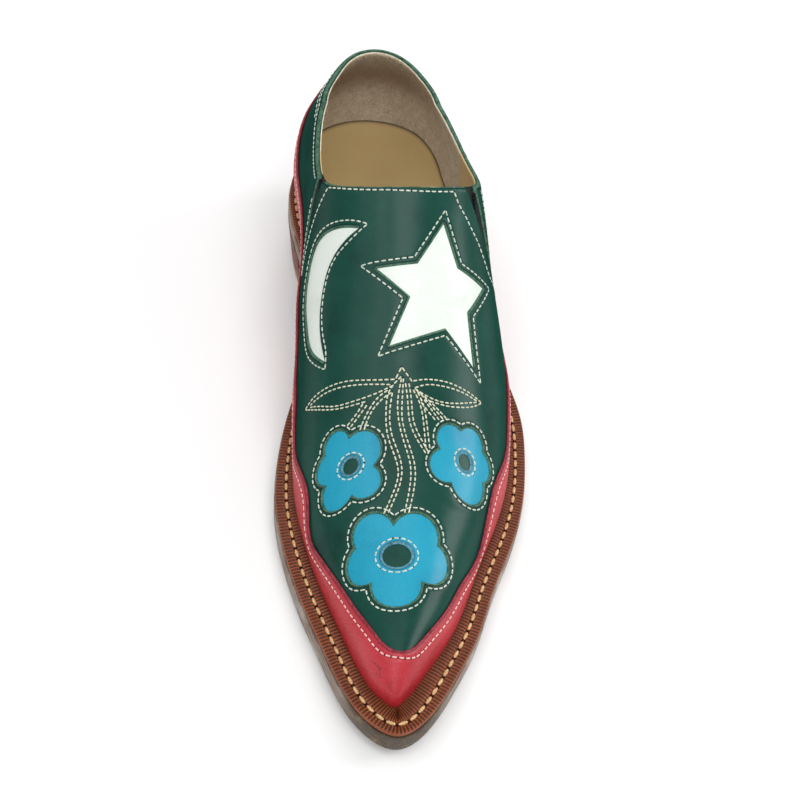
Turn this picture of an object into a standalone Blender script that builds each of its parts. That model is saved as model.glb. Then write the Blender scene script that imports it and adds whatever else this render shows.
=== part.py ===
"""Western slip-on shoe for the left foot: a hollow upper on a welted sole, all from one last surface.

Sizes are in millimetres until a mesh is made. +Z is up, the toe points to -Y and the outer side
of the foot is +X. A station is the distance from the back of the heel along the sole.
"""
import math

import bmesh
import bpy
import numpy as np
from mathutils import Vector
from mathutils.geometry import delaunay_2d_cdt

MM = 0.001

# Main sizes
SHOE_LENGTH = 285.0
CENTRE = (4.293, 0.333, 0.0)
WALL = 2.2
GAP = 0.3
WELT_THICKNESS = 3.2
OUTSOLE_LIP = 0.5
HEEL_BREAST = 64.0
HEEL_TAPER = 2.5
TOP_PIECE_THICKNESS = 4.6
HEEL_LIFTS = 3

# Sole seen from above: half widths of the welt's edge, and how far in from it the upper stands
SOLE_COLUMNS = ("station", "medial", "lateral", "medial_margin", "lateral_margin")
SOLE_ROWS = (
    (12.0, 25.0, 25.0, 6.3, 6.3),
    (38.0, 33.5, 33.5, 6.3, 6.3),
    (70.0, 29.8, 35.4, 5.8, 6.2),
    (100.0, 28.0, 41.0, 5.6, 6.6),
    (125.0, 33.4, 49.3, 7.2, 8.7),
    (145.0, 39.6, 53.6, 8.8, 10.3),
    (165.0, 43.6, 52.5, 9.8, 10.4),
    (184.0, 45.2, 49.0, 10.4, 10.2),
    (205.0, 43.2, 41.6, 10.4, 10.2),
    (226.0, 38.7, 31.5, 10.4, 10.2),
    (247.0, 32.4, 22.5, 10.2, 10.4),
    (263.0, 27.3, 13.0, 10.2, 11.2),
    (275.0, 21.4, 4.6, 10.6, 12.0),
)
HEEL_END = (0.0, 0.0, 7.2)
TOE_END = (-9.2, 284.4, 11.4)

# Sole seen from the side: height of the surface that carries the upper
PROFILE_COLUMNS = ("station", "seat", "thickness")
PROFILE_ROWS = (
    (0.0, 28.9, 6.0),
    (40.0, 28.5, 6.0),
    (70.0, 25.6, 5.4),
    (100.0, 19.3, 5.0),
    (115.0, 15.0, 5.8),
    (130.0, 11.2, 7.6),
    (145.0, 9.0, 9.0),
    (160.0, 8.5, 9.4),
    (185.0, 8.5, 9.2),
    (210.0, 8.8, 9.2),
    (235.0, 9.9, 9.0),
    (260.0, 11.9, 9.0),
    (285.0, 14.4, 9.0),
)

# Insole with its padded sock: thickness along the sole, thickest under the heel
PAD_COLUMNS = ("station", "thickness")
PAD_ROWS = (
    (0.0, 17.0),
    (50.0, 16.5),
    (75.0, 14.0),
    (100.0, 9.5),
    (125.0, 5.2),
    (145.0, 3.3),
    (160.0, 3.0),
    (220.0, 3.0),
    (285.0, 3.0),
)

# Last in cross section: ridge line, bulge past the feather line, height of the widest level, fullness
LAST_COLUMNS = (
    "station", "ridge_x", "ridge_z", "rise",
    "medial_bulge", "medial_fullness", "lateral_bulge", "lateral_fullness",
)
LAST_ROWS = (
    (42.0, 0.0, 104.0, 20.0, 4.0, 2.00, 4.0, 2.20),
    (57.0, 0.0, 108.5, 22.0, 4.8, 2.18, 5.2, 2.42),
    (75.0, 0.0, 113.5, 25.0, 7.0, 2.38, 5.8, 2.75),
    (92.0, 0.0, 110.5, 25.0, 9.2, 2.40, 6.2, 2.80),
    (107.0, 0.0, 99.5, 23.0, 10.4, 2.10, 5.2, 2.35),
    (125.0, 0.0, 85.3, 20.0, 8.4, 2.00, 3.7, 2.05),
    (145.0, -0.5, 71.0, 16.0, 5.6, 2.00, 2.1, 1.92),
    (165.0, -1.5, 58.6, 13.0, 3.4, 2.00, 1.4, 1.85),
    (187.0, -3.0, 47.6, 10.5, 2.6, 2.00, 1.4, 1.90),
    (205.0, -4.2, 41.3, 9.0, 2.2, 2.00, 1.4, 2.00),
    (225.0, -5.4, 36.6, 7.5, 1.8, 2.00, 1.4, 2.00),
    (245.0, -6.8, 33.6, 6.0, 1.4, 2.00, 1.0, 2.00),
    (262.0, -7.8, 31.0, 5.0, 1.2, 2.00, 0.8, 2.00),
)
TOE_TIP = {"bulge": 0.9, "rise": 4.6, "fullness": 2.0}
HEEL_BACK = {"bulge": 1.2, "rise": 19.0, "fullness": 2.2, "ridge_z": 110.0}
HEEL_PINCH = 0.28
TOE_STATION = 262.0
HEEL_STATION = 42.0

# Collar seen from the side, from the middle of the throat to the back of the heel
COLLAR_COLUMNS = ("from_centre", "height")
COLLAR_ROWS = (
    (35.5, 99.5),
    (42.0, 94.0),
    (50.0, 88.8),
    (60.0, 85.3),
    (73.0, 83.6),
    (88.0, 84.6),
    (104.0, 88.0),
    (118.0, 91.3),
    (130.0, 93.2),
)
THROAT_STATION = 107.0
SIDES = {"medial": -1.0, "lateral": 1.0}

# Red overlays: height of their top edge up the wall from the feather line, round the whole shoe
OVERLAY_COLUMNS = ("station", "medial", "lateral")
OVERLAY_ROWS = (
    (0.0, 54.0, 54.0),
    (9.0, 53.0, 53.0),
    (14.0, 49.5, 49.5),
    (19.0, 44.5, 44.5),
    (25.0, 41.8, 41.8),
    (32.0, 40.0, 40.0),
    (40.0, 32.0, 32.0),
    (48.0, 27.0, 26.0),
    (60.0, 26.5, 24.0),
    (90.0, 26.5, 24.6),
    (113.0, 25.7, 25.5),
    (133.0, 21.9, 22.8),
    (148.0, 22.7, 22.7),
    (158.0, 18.3, 20.8),
    (167.0, 15.1, 18.6),
    (176.0, 17.7, 19.0),
    (189.0, 21.4, 21.8),
    (198.0, 19.1, 20.7),
    (209.0, 13.4, 16.1),
    (217.0, 14.6, 12.6),
    (230.0, 17.2, 15.4),
    (244.0, 18.8, 17.1),
    (255.0, 20.5, 18.7),
    (260.0, 23.1, 21.3),
    (262.0, 26.7, 24.7),
    (285.0, 60.0, 60.0),
)
OVERLAY_THICKNESS = 1.2
OVERLAY_SEAM = 92.0

# Slits for the elastic gores: stations of the front and rear edges at a girth distance from the ridge
GORE_COLUMNS = ("share", "medial_front", "medial_rear", "lateral_front", "lateral_rear")
GORE_ROWS = (
    (0.0, 90.0, 82.5, 98.5, 90.5),
    (0.3, 91.4, 85.6, 105.6, 99.2),
    (0.65, 94.8, 91.4, 110.5, 107.8),
    (1.0, 98.8, 98.0, 112.5, 111.7),
)
GORE_START = 26.0
GORE_FOOT = {"medial": 71.0, "lateral": 64.0}
GORE_THICKNESS = 1.2
GORE_STATION = {"medial": 87.0, "lateral": 98.0}
GORE_DROP = 1.5

# Inlays let into the upper, as girth distance from the ridge and distance along it from the throat
POCKET_DEPTH = 1.2
INLAY_SINK = 0.4
STAR_COLUMNS = ("tip_girth", "tip_along", "notch_girth", "notch_along")
STAR_ROWS = (
    (18.2, 11.0, 24.4, 25.0),
    (40.0, 24.8, 29.0, 39.6),
    (31.6, 59.4, 18.4, 49.4),
    (-3.4, 58.3, 4.4, 40.3),
    (-8.2, 29.2, 7.2, 27.9),
)
MOON_COLUMNS = ("girth", "along")
MOON_OUTER = (
    (-16.1, 11.4),
    (-31.9, 3.9),
    (-46.0, 2.8),
    (-54.3, 12.0),
    (-51.0, 27.0),
    (-42.6, 42.7),
    (-31.8, 54.2),
)
MOON_INNER = (
    (-31.8, 54.2),
    (-36.0, 42.0),
    (-37.0, 28.0),
    (-32.0, 17.0),
    (-16.1, 11.4),
)
PETAL_COLUMNS = ("notch_girth", "notch_along", "tip_girth", "tip_along")
FLOWERS = {
    "big": ((-0.4, 136.5), (
        (-1.2, -10.4, 11.8, -14.0),
        (15.0, -4.6, 19.4, 1.4),
        (8.6, 9.0, 0.0, 19.2),
        (-9.0, 8.6, -18.6, 1.0),
        (-14.6, -5.0, -13.4, -14.4),
    )),
    "medial": ((-18.0, 100.1), (
        (-0.6, -9.8, 9.6, -9.4),
        (8.6, 2.1, 11.6, 9.5),
        (1.1, 10.6, -7.6, 13.9),
        (-9.1, 3.6, -14.0, -3.6),
        (-10.0, -7.4, -6.9, -14.4),
    )),
    "lateral": ((27.0, 97.9), (
        (-1.8, -10.8, 5.0, -13.4),
        (8.2, -6.5, 12.6, -1.6),
        (8.4, 4.6, 1.9, 15.0),
        (-6.0, 8.8, -14.5, 4.6),
        (-10.1, -2.4, -9.3, -11.4),
    )),
}

OUTLINE_SAMPLES = 1440
SECTION_SAMPLES = 60


def spline(knots, values):
    """Smooth curve through the values at the knots, as a function."""
    knots = np.asarray(knots, dtype=float)
    values = np.asarray(values, dtype=float)
    count = len(knots)
    step = np.diff(knots)
    slope = np.diff(values) / step
    matrix = np.eye(count)
    right = np.zeros(count)
    for row in range(1, count - 1):
        matrix[row, row - 1] = step[row - 1]
        matrix[row, row] = 2.0 * (step[row - 1] + step[row])
        matrix[row, row + 1] = step[row]
        right[row] = 6.0 * (slope[row] - slope[row - 1])
    bend = np.linalg.solve(matrix, right)

    def value(x):
        x = np.clip(x, knots[0], knots[-1])
        at = np.clip(np.searchsorted(knots, x) - 1, 0, count - 2)
        run = x - knots[at]
        start = slope[at] - step[at] * (2.0 * bend[at] + bend[at + 1]) / 6.0
        rate = (bend[at + 1] - bend[at]) / (6.0 * step[at])
        return values[at] + run * start + run ** 2 * bend[at] / 2.0 + run ** 3 * rate

    return value


def table(rows, names):
    """One smooth function of the first column for each of the other columns."""
    columns = np.array(rows).T
    return {name: spline(columns[0], columns[place]) for place, name in enumerate(names) if place}


PROFILE = table(PROFILE_ROWS, PROFILE_COLUMNS)
SEAT = PROFILE["seat"]
PAD = table(PAD_ROWS, PAD_COLUMNS)["thickness"]
LAST = table(LAST_ROWS, LAST_COLUMNS)
COLLAR = table(COLLAR_ROWS, COLLAR_COLUMNS)["height"]
OVERLAY = table(OVERLAY_ROWS, OVERLAY_COLUMNS)
GORE = table(GORE_ROWS, GORE_COLUMNS)


def sole_bottom(station):
    """Height of the outsole's underside: flat on the floor under the ball, raised at the waist and toe."""
    return np.maximum(0.0, SEAT(station) - PROFILE["thickness"](station))


def outline():
    """Plan of the welt's edge: points (x, station), inward normals and margins, heel end to heel end."""
    name = SOLE_COLUMNS.index
    lateral = [(row[name("lateral")], row[0], row[name("lateral_margin")]) for row in SOLE_ROWS]
    medial = [(-row[name("medial")], row[0], row[name("medial_margin")]) for row in SOLE_ROWS[::-1]]
    points = np.array([HEEL_END] + lateral + [TOE_END] + medial)
    count = len(points)
    wrapped = np.vstack([points] * 3 + [points[:1]])
    chord = np.hypot(*np.diff(wrapped[:, :2], axis=0).T)
    knots = np.concatenate([[0.0], np.cumsum(chord)])
    along = np.linspace(knots[count], knots[2 * count], OUTLINE_SAMPLES, endpoint=False)
    dense = np.stack([spline(knots, wrapped[:, axis])(along) for axis in range(3)], axis=1)
    tangent = np.roll(dense[:, :2], -1, axis=0) - np.roll(dense[:, :2], 1, axis=0)
    tangent /= np.linalg.norm(tangent, axis=1)[:, None]
    inward = np.stack([-tangent[:, 1], tangent[:, 0]], axis=1)
    return dense[:, :2], inward, dense[:, 2]


EDGE, INWARD, MARGIN = outline()


def plan_loop(share=0.0, inset=0.0):
    """Closed plan curve set in from the welt's edge by a share of the margin and a fixed distance."""
    return EDGE + INWARD * (share * MARGIN + inset)[:, None]


def reach(origin, direction, loop):
    """Distance from an origin along a plan direction to a closed plan curve."""
    offset = loop - origin
    side = offset[:, 0] * direction[1] - offset[:, 1] * direction[0]
    ahead = offset @ direction
    following = np.roll(side, -1)
    further = np.roll(ahead, -1)
    crossing = np.nonzero((side * following <= 0.0) & (ahead > 0.0) & (side != following))[0]
    share = side[crossing] / (side[crossing] - following[crossing])
    return float(np.min(ahead[crossing] + share * (further[crossing] - ahead[crossing])))


def mid_spoke(station, side):
    """Line across the foot at one station, from the ridge to one side."""
    name = "lateral_" if side > 0 else "medial_"
    return {
        "origin": np.array([float(LAST["ridge_x"](station)), station]),
        "direction": np.array([float(side), 0.0]),
        "bulge": float(LAST[name + "bulge"](station)),
        "rise": float(LAST["rise"](station)),
        "fullness": float(LAST[name + "fullness"](station)),
        "ridge_z": float(LAST["ridge_z"](station)),
    }


def fan_spoke(angle, station, end, pinch=0.0):
    """Line fanning out round the toe or the heel, its values turning into those of the end.

    A pinch draws the wall in half way round.
    """
    side = 1.0 if math.cos(angle) >= 0.0 else -1.0
    spoke = mid_spoke(station, side)
    share = math.sin(angle) ** 2
    for name, value in end.items():
        spoke[name] += share * (value - spoke[name])
    spoke["fullness"] -= pinch * math.sin(2.0 * angle) ** 2
    spoke["direction"] = np.array([math.cos(angle), math.sin(angle)])
    return spoke


def ring_of_spokes(stations, toe_steps, heel_steps):
    """Spokes all round the shoe: lateral side, toe, medial side, heel."""
    toe = [math.pi * step / toe_steps for step in range(1, toe_steps)]
    heel = [math.pi * (1.0 + step / heel_steps) for step in range(1, heel_steps)]
    ring = [mid_spoke(station, 1.0) for station in stations]
    ring += [fan_spoke(angle, TOE_STATION, TOE_TIP) for angle in toe]
    ring += [mid_spoke(station, -1.0) for station in stations[::-1]]
    ring += [fan_spoke(angle, HEEL_STATION, HEEL_BACK, HEEL_PINCH) for angle in heel]
    return ring


FEATHER = plan_loop(share=1.0)


def section(spoke):
    """Outer surface of the last up one spoke, from the feather line to the ridge, as x, y, z points."""
    foot = reach(spoke["origin"], spoke["direction"], FEATHER)
    station = spoke["origin"][1] + spoke["direction"][1] * foot
    base = float(SEAT(station)) + GAP
    widest = foot + spoke["bulge"]
    level = base + spoke["rise"]
    power = 2.0 / spoke["fullness"]
    low = np.linspace(0.0, 1.0, SECTION_SAMPLES // 3)
    high = np.linspace(0.0, math.pi / 2.0, SECTION_SAMPLES)[1:]
    along = np.concatenate([
        foot + spoke["bulge"] * np.sin(low * math.pi / 2.0),
        widest * np.clip(np.cos(high), 0.0, 1.0) ** power,
    ])
    height = np.concatenate([
        base + spoke["rise"] * low,
        level + (spoke["ridge_z"] - level) * np.sin(high) ** power,
    ])
    plan = spoke["origin"] + spoke["direction"] * along[:, None]
    return np.stack([plan[:, 0], SHOE_LENGTH / 2.0 - plan[:, 1], height], axis=1)


def arc_length(points):
    """Distance along a chain of points at each of them."""
    steps = np.linalg.norm(np.diff(points, axis=0), axis=1)
    return np.concatenate([[0.0], np.cumsum(steps)])


def resample(points, places):
    """Points at given distances along a chain."""
    along = arc_length(points)
    return np.stack([np.interp(places, along, points[:, axis]) for axis in range(3)], axis=1)


def trimmed(points):
    """A section cut off where it passes the collar line."""
    over = points[:, 2] - COLLAR(points[:, 1])
    over[points[:, 1] < SHOE_LENGTH / 2.0 - THROAT_STATION - GAP] = -1.0
    above = np.nonzero(over > 0.0)[0]
    if len(above) == 0:
        return points
    last = above[0]
    share = over[last - 1] / (over[last - 1] - over[last])
    cut = points[last - 1] + share * (points[last] - points[last - 1])
    return np.vstack([points[:last], cut])


# Solids
MID_STEPS = {"heel": 2, "waist": 8, "forepart": 17}
TOE_STEPS = 16
HEEL_STEPS = 16
UPPER_ROWS = 11
WELT_BEVEL = 0.8
SOLE_BEVEL = 1.2
INSOLE_CLEARANCE = 0.6
PAD_CLEARANCE = 1.0
OVERLAY_STEPS = {"rear": 8, "front": 26, "toe": 16, "heel": 22}
OVERLAY_CROWDING = 1.3
OVERLAY_ROWS_UP = 8
NORMAL_STEP = 0.5
PATCH_STEP = 7.0
MOON_STEPS = 12
PETAL_STEPS = 6
GORE_STEPS = 12
GORE_TIP = 8.0
MITRE_LIMIT = 0.02


def mid_stations():
    """Stations between the heel and toe fans, closer together near the throat."""
    heel = np.linspace(HEEL_STATION, HEEL_BREAST, MID_STEPS["heel"], endpoint=False)
    left = 1.0 - np.arange(MID_STEPS["waist"]) / MID_STEPS["waist"]
    waist = THROAT_STATION - (THROAT_STATION - HEEL_BREAST) * left ** 2
    forepart = np.linspace(THROAT_STATION, TOE_STATION, MID_STEPS["forepart"] + 1)
    return np.concatenate([heel, waist, forepart])


STATIONS = mid_stations()
RING = ring_of_spokes(STATIONS, TOE_STEPS, HEEL_STEPS)
HEEL_STATIONS = STATIONS[STATIONS <= HEEL_BREAST]
HEEL_RING = (
    [mid_spoke(station, 1.0) for station in HEEL_STATIONS]
    + [mid_spoke(station, -1.0) for station in HEEL_STATIONS[::-1]]
    + RING[1 - HEEL_STEPS:]
)


def material(name, colour, roughness):
    """Plain material of one piece."""
    made = bpy.data.materials.new(name)
    made.use_nodes = True
    shader = made.node_tree.nodes["Principled BSDF"]
    shader.inputs["Base Color"].default_value = (*colour, 1.0)
    shader.inputs["Roughness"].default_value = roughness
    return made


def solid(name, points, faces, surface):
    """Object with a closed mesh, its equal points welded and its faces turned outwards."""
    shifted = (np.asarray(points) - np.array(CENTRE)) * MM
    mesh = bpy.data.meshes.new(name)
    mesh.from_pydata(shifted.tolist(), [], faces)
    shape = bmesh.new()
    shape.from_mesh(mesh)
    bmesh.ops.remove_doubles(shape, verts=shape.verts, dist=0.01 * MM)
    bmesh.ops.triangulate(shape, faces=shape.faces)
    bmesh.ops.recalc_face_normals(shape, faces=shape.faces)
    shape.to_mesh(mesh)
    shape.free()
    mesh.materials.append(surface)
    made = bpy.data.objects.new(name, mesh)
    bpy.context.scene.collection.objects.link(made)
    return made


def strip(columns, rows):
    """Faces round a ring of columns of points, numbered column by column."""
    faces = []
    for column in range(columns):
        here = column * rows
        there = (column + 1) % columns * rows
        for row in range(rows - 1):
            faces.append((here + row, here + row + 1, there + row + 1, there + row))
    return faces


def ring_points(share, inset, spokes):
    """Plan points of a loop set in from the welt's edge, one on each spoke."""
    loop = plan_loop(share, inset)
    return np.array([s["origin"] + s["direction"] * reach(s["origin"], s["direction"], loop) for s in spokes])


def placed(plan, height):
    """Points x, y, z from plan points x, station and their heights."""
    return np.column_stack([plan[:, 0], SHOE_LENGTH / 2.0 - plan[:, 1], height])


def cap_faces(start, centre, stations, toe):
    """Faces that close a loop of points: a ladder across the stations and a fan at each rounded end."""
    count = len(stations)
    lateral = [start + place for place in range(count)]
    medial = [start + 2 * count + toe - 1 - place for place in range(count)]
    rungs = range(count - 1)
    faces = [(lateral[i], lateral[i + 1], medial[i + 1], medial[i]) for i in rungs]
    ends = [[medial[0]] + [medial[0] + place for place in range(1, HEEL_STEPS)] + [lateral[0]]]
    if toe:
        ends.append([lateral[-1] + place for place in range(toe + 2)])
    for turn, end in enumerate(ends):
        for i in range(len(end)):
            faces.append((end[i], end[(i + 1) % len(end)], centre + turn))
    return faces


def plate(name, levels, surface, spokes, stations):
    """Solid between loops of plan points: levels list each loop and its height, from the top down."""
    size = len(spokes)
    toe = size - 2 * len(stations) - (HEEL_STEPS - 1)
    middles = [spokes[0]["origin"]] + ([spokes[len(stations)]["origin"]] if toe else [])
    middles = np.array(middles)
    loops = [placed(plan, height(plan[:, 1])) for plan, height in levels]
    caps = [placed(middles, level[1](middles[:, 1])) for level in (levels[0], levels[-1])]
    points = np.vstack(loops + caps)
    used = size * len(loops)
    faces = cap_faces(0, used, stations, toe)
    faces += cap_faces(used - size, used + len(middles), stations, toe)
    for start in range(0, used - size, size):
        for place in range(size):
            beside = (place + 1) % size
            faces.append((start + place, start + beside, start + size + beside, start + size + place))
    return solid(name, points, faces, surface)


def make_outsole(surface):
    """Leather outsole with toe spring, arch and a bevelled lower edge."""
    edge = ring_points(0.0, -OUTSOLE_LIP, RING)
    tread = ring_points(0.0, SOLE_BEVEL - OUTSOLE_LIP, RING)
    levels = [(edge, SEAT), (edge, lambda s: sole_bottom(s) + SOLE_BEVEL), (tread, sole_bottom)]
    return plate("outsole", levels, surface, RING, STATIONS)


def pad_top(station):
    """Height of the padded sock's top."""
    return SEAT(station) + GAP + PAD(station)


def pad_edge(spoke):
    """Plan point of the padded sock's edge on one spoke, just inside the upper's wall."""
    wall = section(spoke)
    out = np.hypot(wall[:, 0] - spoke["origin"][0], SHOE_LENGTH / 2.0 - wall[:, 1] - spoke["origin"][1])
    height = float(pad_top(SHOE_LENGTH / 2.0 - wall[0, 1]))
    far = float(np.interp(height, wall[:, 2], out)) - WALL - PAD_CLEARANCE
    return spoke["origin"] + spoke["direction"] * far


def make_insole(surface):
    """Insole and padded sock inside the foot of the upper."""
    foot = ring_points(1.0, WALL + INSOLE_CLEARANCE, RING)
    edge = np.array([pad_edge(spoke) for spoke in RING])
    levels = [(edge, pad_top), (foot, lambda s: SEAT(s) + GAP)]
    return plate("insole", levels, surface, RING, STATIONS)


def heel_level(share):
    """Height of a level in the heel: share 0 is on the floor, 1 is under the outsole."""
    return lambda station: share * (sole_bottom(station) - GAP)


def make_heel(lift_surface, top_piece_surface):
    """Stacked lifts under the outsole, tapering to the top piece that meets the floor."""
    stack = float(heel_level(1.0)(HEEL_STATION))
    piece = TOP_PIECE_THICKNESS / stack
    shares = [0.0] + [piece + (1.0 - piece) * lift / HEEL_LIFTS for lift in range(HEEL_LIFTS + 1)]
    seam = GAP / stack
    made = []
    for place in range(len(shares) - 1):
        low = shares[place]
        high = shares[place + 1] - (seam if place < HEEL_LIFTS else 0.0)
        name = "heel_lift_%d" % place if place else "heel_top_piece"
        levels = [
            (ring_points(0.0, HEEL_TAPER * (1.0 - share) - OUTSOLE_LIP, HEEL_RING), heel_level(share))
            for share in (high, low)
        ]
        surface = lift_surface if place else top_piece_surface
        made.append(plate(name, levels, surface, HEEL_RING, HEEL_STATIONS))
    return made


def make_welt(surface):
    """Welt all round the shoe, on the outsole and against the foot of the upper."""
    outer = ring_points(0.0, 0.0, RING)
    bevel = ring_points(0.0, WELT_BEVEL, RING)
    inner = ring_points(1.0, -GAP, RING)
    levels = np.array([0.0, WELT_THICKNESS, WELT_THICKNESS, WELT_THICKNESS - WELT_BEVEL, 0.0])
    columns = []
    for place, spoke in enumerate(RING):
        wall = section(spoke)
        top = wall[0, 2] + WELT_THICKNESS
        lean = np.array([np.interp(top, wall[:, 2], wall[:, axis]) for axis in range(2)]) - wall[0, :2]
        lean[1] = -lean[1]
        plan = np.array([inner[place], inner[place] + lean, bevel[place], outer[place], outer[place]])
        columns.append(placed(plan, SEAT(plan[:, 1]) + GAP + levels))
    closed = [np.vstack([column, column[:1]]) for column in columns]
    return solid("welt", np.vstack(closed), strip(len(closed), len(closed[0])), surface)


def weld(points, faces):
    """Points and faces of a surface with equal points made one, and where each point went."""
    keys = {}
    place = []
    kept = []
    for point in points:
        key = tuple(np.round(point, 3))
        if key not in keys:
            keys[key] = len(kept)
            kept.append(point)
        place.append(keys[key])
    welded = []
    for face in faces:
        corners = tuple(dict.fromkeys(place[corner] for corner in face))
        if len(corners) > 2:
            welded.append(corners)
    return np.array(kept), welded, np.array(place)


def outward_normals(points, faces):
    """Normals at the points of a surface whose faces all turn the same way."""
    normals = np.zeros_like(points)
    for face in faces:
        corners = points[list(face)]
        across = (corners[2] - corners[0], corners[-1] - corners[1])
        if len(face) == 3:
            across = (corners[1] - corners[0], corners[2] - corners[0])
        normals[list(face)] += np.cross(*across)
    return normals / np.linalg.norm(normals, axis=1)[:, None]


def rim_faces(faces, count):
    """Faces that join the open edges of a surface to those of its copy, numbered count later."""
    edges = [(face[i], face[(i + 1) % len(face)]) for face in faces for i in range(len(face))]
    known = set(edges)
    return [(b, a, a + count, b + count) for a, b in edges if (b, a) not in known]


def shell(name, points, faces, normals, low, high, surface):
    """Solid between two offsets of an open surface."""
    count = len(points)
    both = np.vstack([points + high * normals, points + low * normals])
    inner = [tuple(corner + count for corner in face[::-1]) for face in faces]
    return solid(name, both, list(faces) + inner + rim_faces(faces, count), surface)


def make_upper(surface):
    """Hollow upper: the last's surface from the feather line to the collar, with its wall inwards."""
    shares = np.linspace(0.0, 1.0, UPPER_ROWS)
    columns = []
    for spoke in RING:
        wall = trimmed(section(spoke))
        columns.append(resample(wall, shares * arc_length(wall)[-1]))
    points, faces, place = weld(np.vstack(columns), strip(len(columns), UPPER_ROWS))
    normals = outward_normals(points, faces)
    foot = place[::UPPER_ROWS]
    normals[foot, 2] = 0.0
    normals[foot] /= np.linalg.norm(normals[foot], axis=1)[:, None]
    return shell("upper", points, faces, normals, -WALL, 0.0, surface)


def overlay_ring():
    """Spokes for the red overlays, closer together than those of the upper."""
    rear = np.linspace(HEEL_STATION, OVERLAY_SEAM, OVERLAY_STEPS["rear"], endpoint=False)
    left = np.linspace(1.0, 0.0, OVERLAY_STEPS["front"] + 1)
    front = TOE_STATION - (TOE_STATION - OVERLAY_SEAM) * left ** OVERLAY_CROWDING
    stations = np.concatenate([rear, front])
    return ring_of_spokes(stations, OVERLAY_STEPS["toe"], OVERLAY_STEPS["heel"])


def overlay_grid(ring):
    """Points and normals of the overlays' surface, a row of points up the wall on each spoke."""
    walls = [section(spoke) for spoke in ring]
    totals = np.array([arc_length(wall)[-1] for wall in walls])
    shares = np.linspace(0.0, 1.0, OVERLAY_ROWS_UP)
    points = []
    normals = []
    for place, (spoke, wall) in enumerate(zip(ring, walls)):
        side = "lateral" if spoke["direction"][0] > 0.0 else "medial"
        station = SHOE_LENGTH / 2.0 - wall[0, 1]
        foot = np.interp(wall[0, 2] + WELT_THICKNESS + GAP, wall[:, 2], arc_length(wall))
        top = min(float(OVERLAY[side](station)), totals[place])
        ups = foot + shares * (top - foot)
        beside = [resample(walls[other % len(ring)], ups / totals[place] * totals[other % len(ring)])
                  for other in (place - 1, place + 1)]
        rise = resample(wall, ups + NORMAL_STEP) - resample(wall, ups - NORMAL_STEP)
        normal = np.cross(rise, beside[1] - beside[0])
        normal[0, 2] = 0.0
        if top == totals[place]:
            normal[-1] = (0.0, 0.0, 1.0)
        points.append(resample(wall, ups))
        normals.append(normal / np.linalg.norm(normal, axis=1)[:, None])
    return np.array(points), np.array(normals)


def make_overlays(surface):
    """Red toe wing and red heel counter, meeting at a seam on each side of the waist."""
    ring = overlay_ring()
    points, normals = overlay_grid(ring)
    size = len(ring)
    rear = OVERLAY_STEPS["rear"]
    first = rear
    last = size - (OVERLAY_STEPS["heel"] - 1) - rear - 1
    spans = {
        "toe_wing": list(range(first, last + 1)),
        "heel_counter": [place % size for place in range(last, size + first + 1)],
    }
    made = []
    for name, span in spans.items():
        grid = points[span]
        ends = normals[span]
        if name == "heel_counter":
            for end, beside in ((0, 1), (-1, -2)):
                step = grid[beside] - grid[end]
                grid[end] += step * (GAP / np.linalg.norm(step, axis=1)[:, None])
        rows = grid.shape[1]
        faces = [face for face in strip(len(span), rows) if max(face) - min(face) < 2 * rows]
        welded, faces, place = weld(grid.reshape(-1, 3), faces)
        directions = np.zeros_like(welded)
        directions[place] = ends.reshape(-1, 3)
        made.append(shell(name, welded, faces, directions, GAP, GAP + OVERLAY_THICKNESS, surface))
    return made


RIDGE_STATIONS = np.linspace(HEEL_STATION, TOE_STATION, 441)
RIDGE_ALONG = arc_length(np.column_stack([
    LAST["ridge_x"](RIDGE_STATIONS), RIDGE_STATIONS, LAST["ridge_z"](RIDGE_STATIONS)]))
THROAT_ALONG = float(np.interp(THROAT_STATION, RIDGE_STATIONS, RIDGE_ALONG))


def station_at(along):
    """Station at a distance along the ridge line from the throat."""
    return float(np.interp(along + THROAT_ALONG, RIDGE_ALONG, RIDGE_STATIONS))


def skin(station, girth):
    """Point of the outer surface at a station and a signed distance round from the ridge."""
    wall = section(mid_spoke(station, SIDES["lateral" if girth >= 0.0 else "medial"]))
    total = arc_length(wall)[-1]
    return resample(wall, [total - abs(girth)])[0]


def skin_normal(station, girth):
    """Outward normal of the outer surface."""
    along = skin(station + NORMAL_STEP, girth) - skin(station - NORMAL_STEP, girth)
    across = skin(station, girth + NORMAL_STEP) - skin(station, girth - NORMAL_STEP)
    normal = np.cross(across, -along)
    return normal / np.linalg.norm(normal)


def refined(outline, longest):
    """Closed outline with its long edges split."""
    points = []
    for place, point in enumerate(outline):
        following = np.asarray(outline[(place + 1) % len(outline)])
        pieces = max(1, math.ceil(np.linalg.norm(following - point) / longest))
        points += [point + (following - point) * piece / pieces for piece in range(pieces)]
    return np.array(points)


def shrunk(outline, distance):
    """Closed outline moved inwards by a distance, with mitred corners."""
    edge = np.roll(outline, -1, axis=0) - outline
    edge /= np.linalg.norm(edge, axis=1)[:, None]
    turn = np.sum(outline[:, 0] * np.roll(outline[:, 1], -1) - np.roll(outline[:, 0], -1) * outline[:, 1])
    after = np.column_stack([-edge[:, 1], edge[:, 0]]) * np.sign(turn)
    before = np.roll(after, 1, axis=0)
    spread = 1.0 + np.sum(after * before, axis=1)
    mitre = (after + before) / np.maximum(spread, MITRE_LIMIT)[:, None]
    return outline + mitre * distance


def star_outline():
    """White star: its tips and the notches between them."""
    corners = [np.array(pair) for row in STAR_ROWS for pair in (row[:2], row[2:])]
    return refined(corners, PATCH_STEP)


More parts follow.
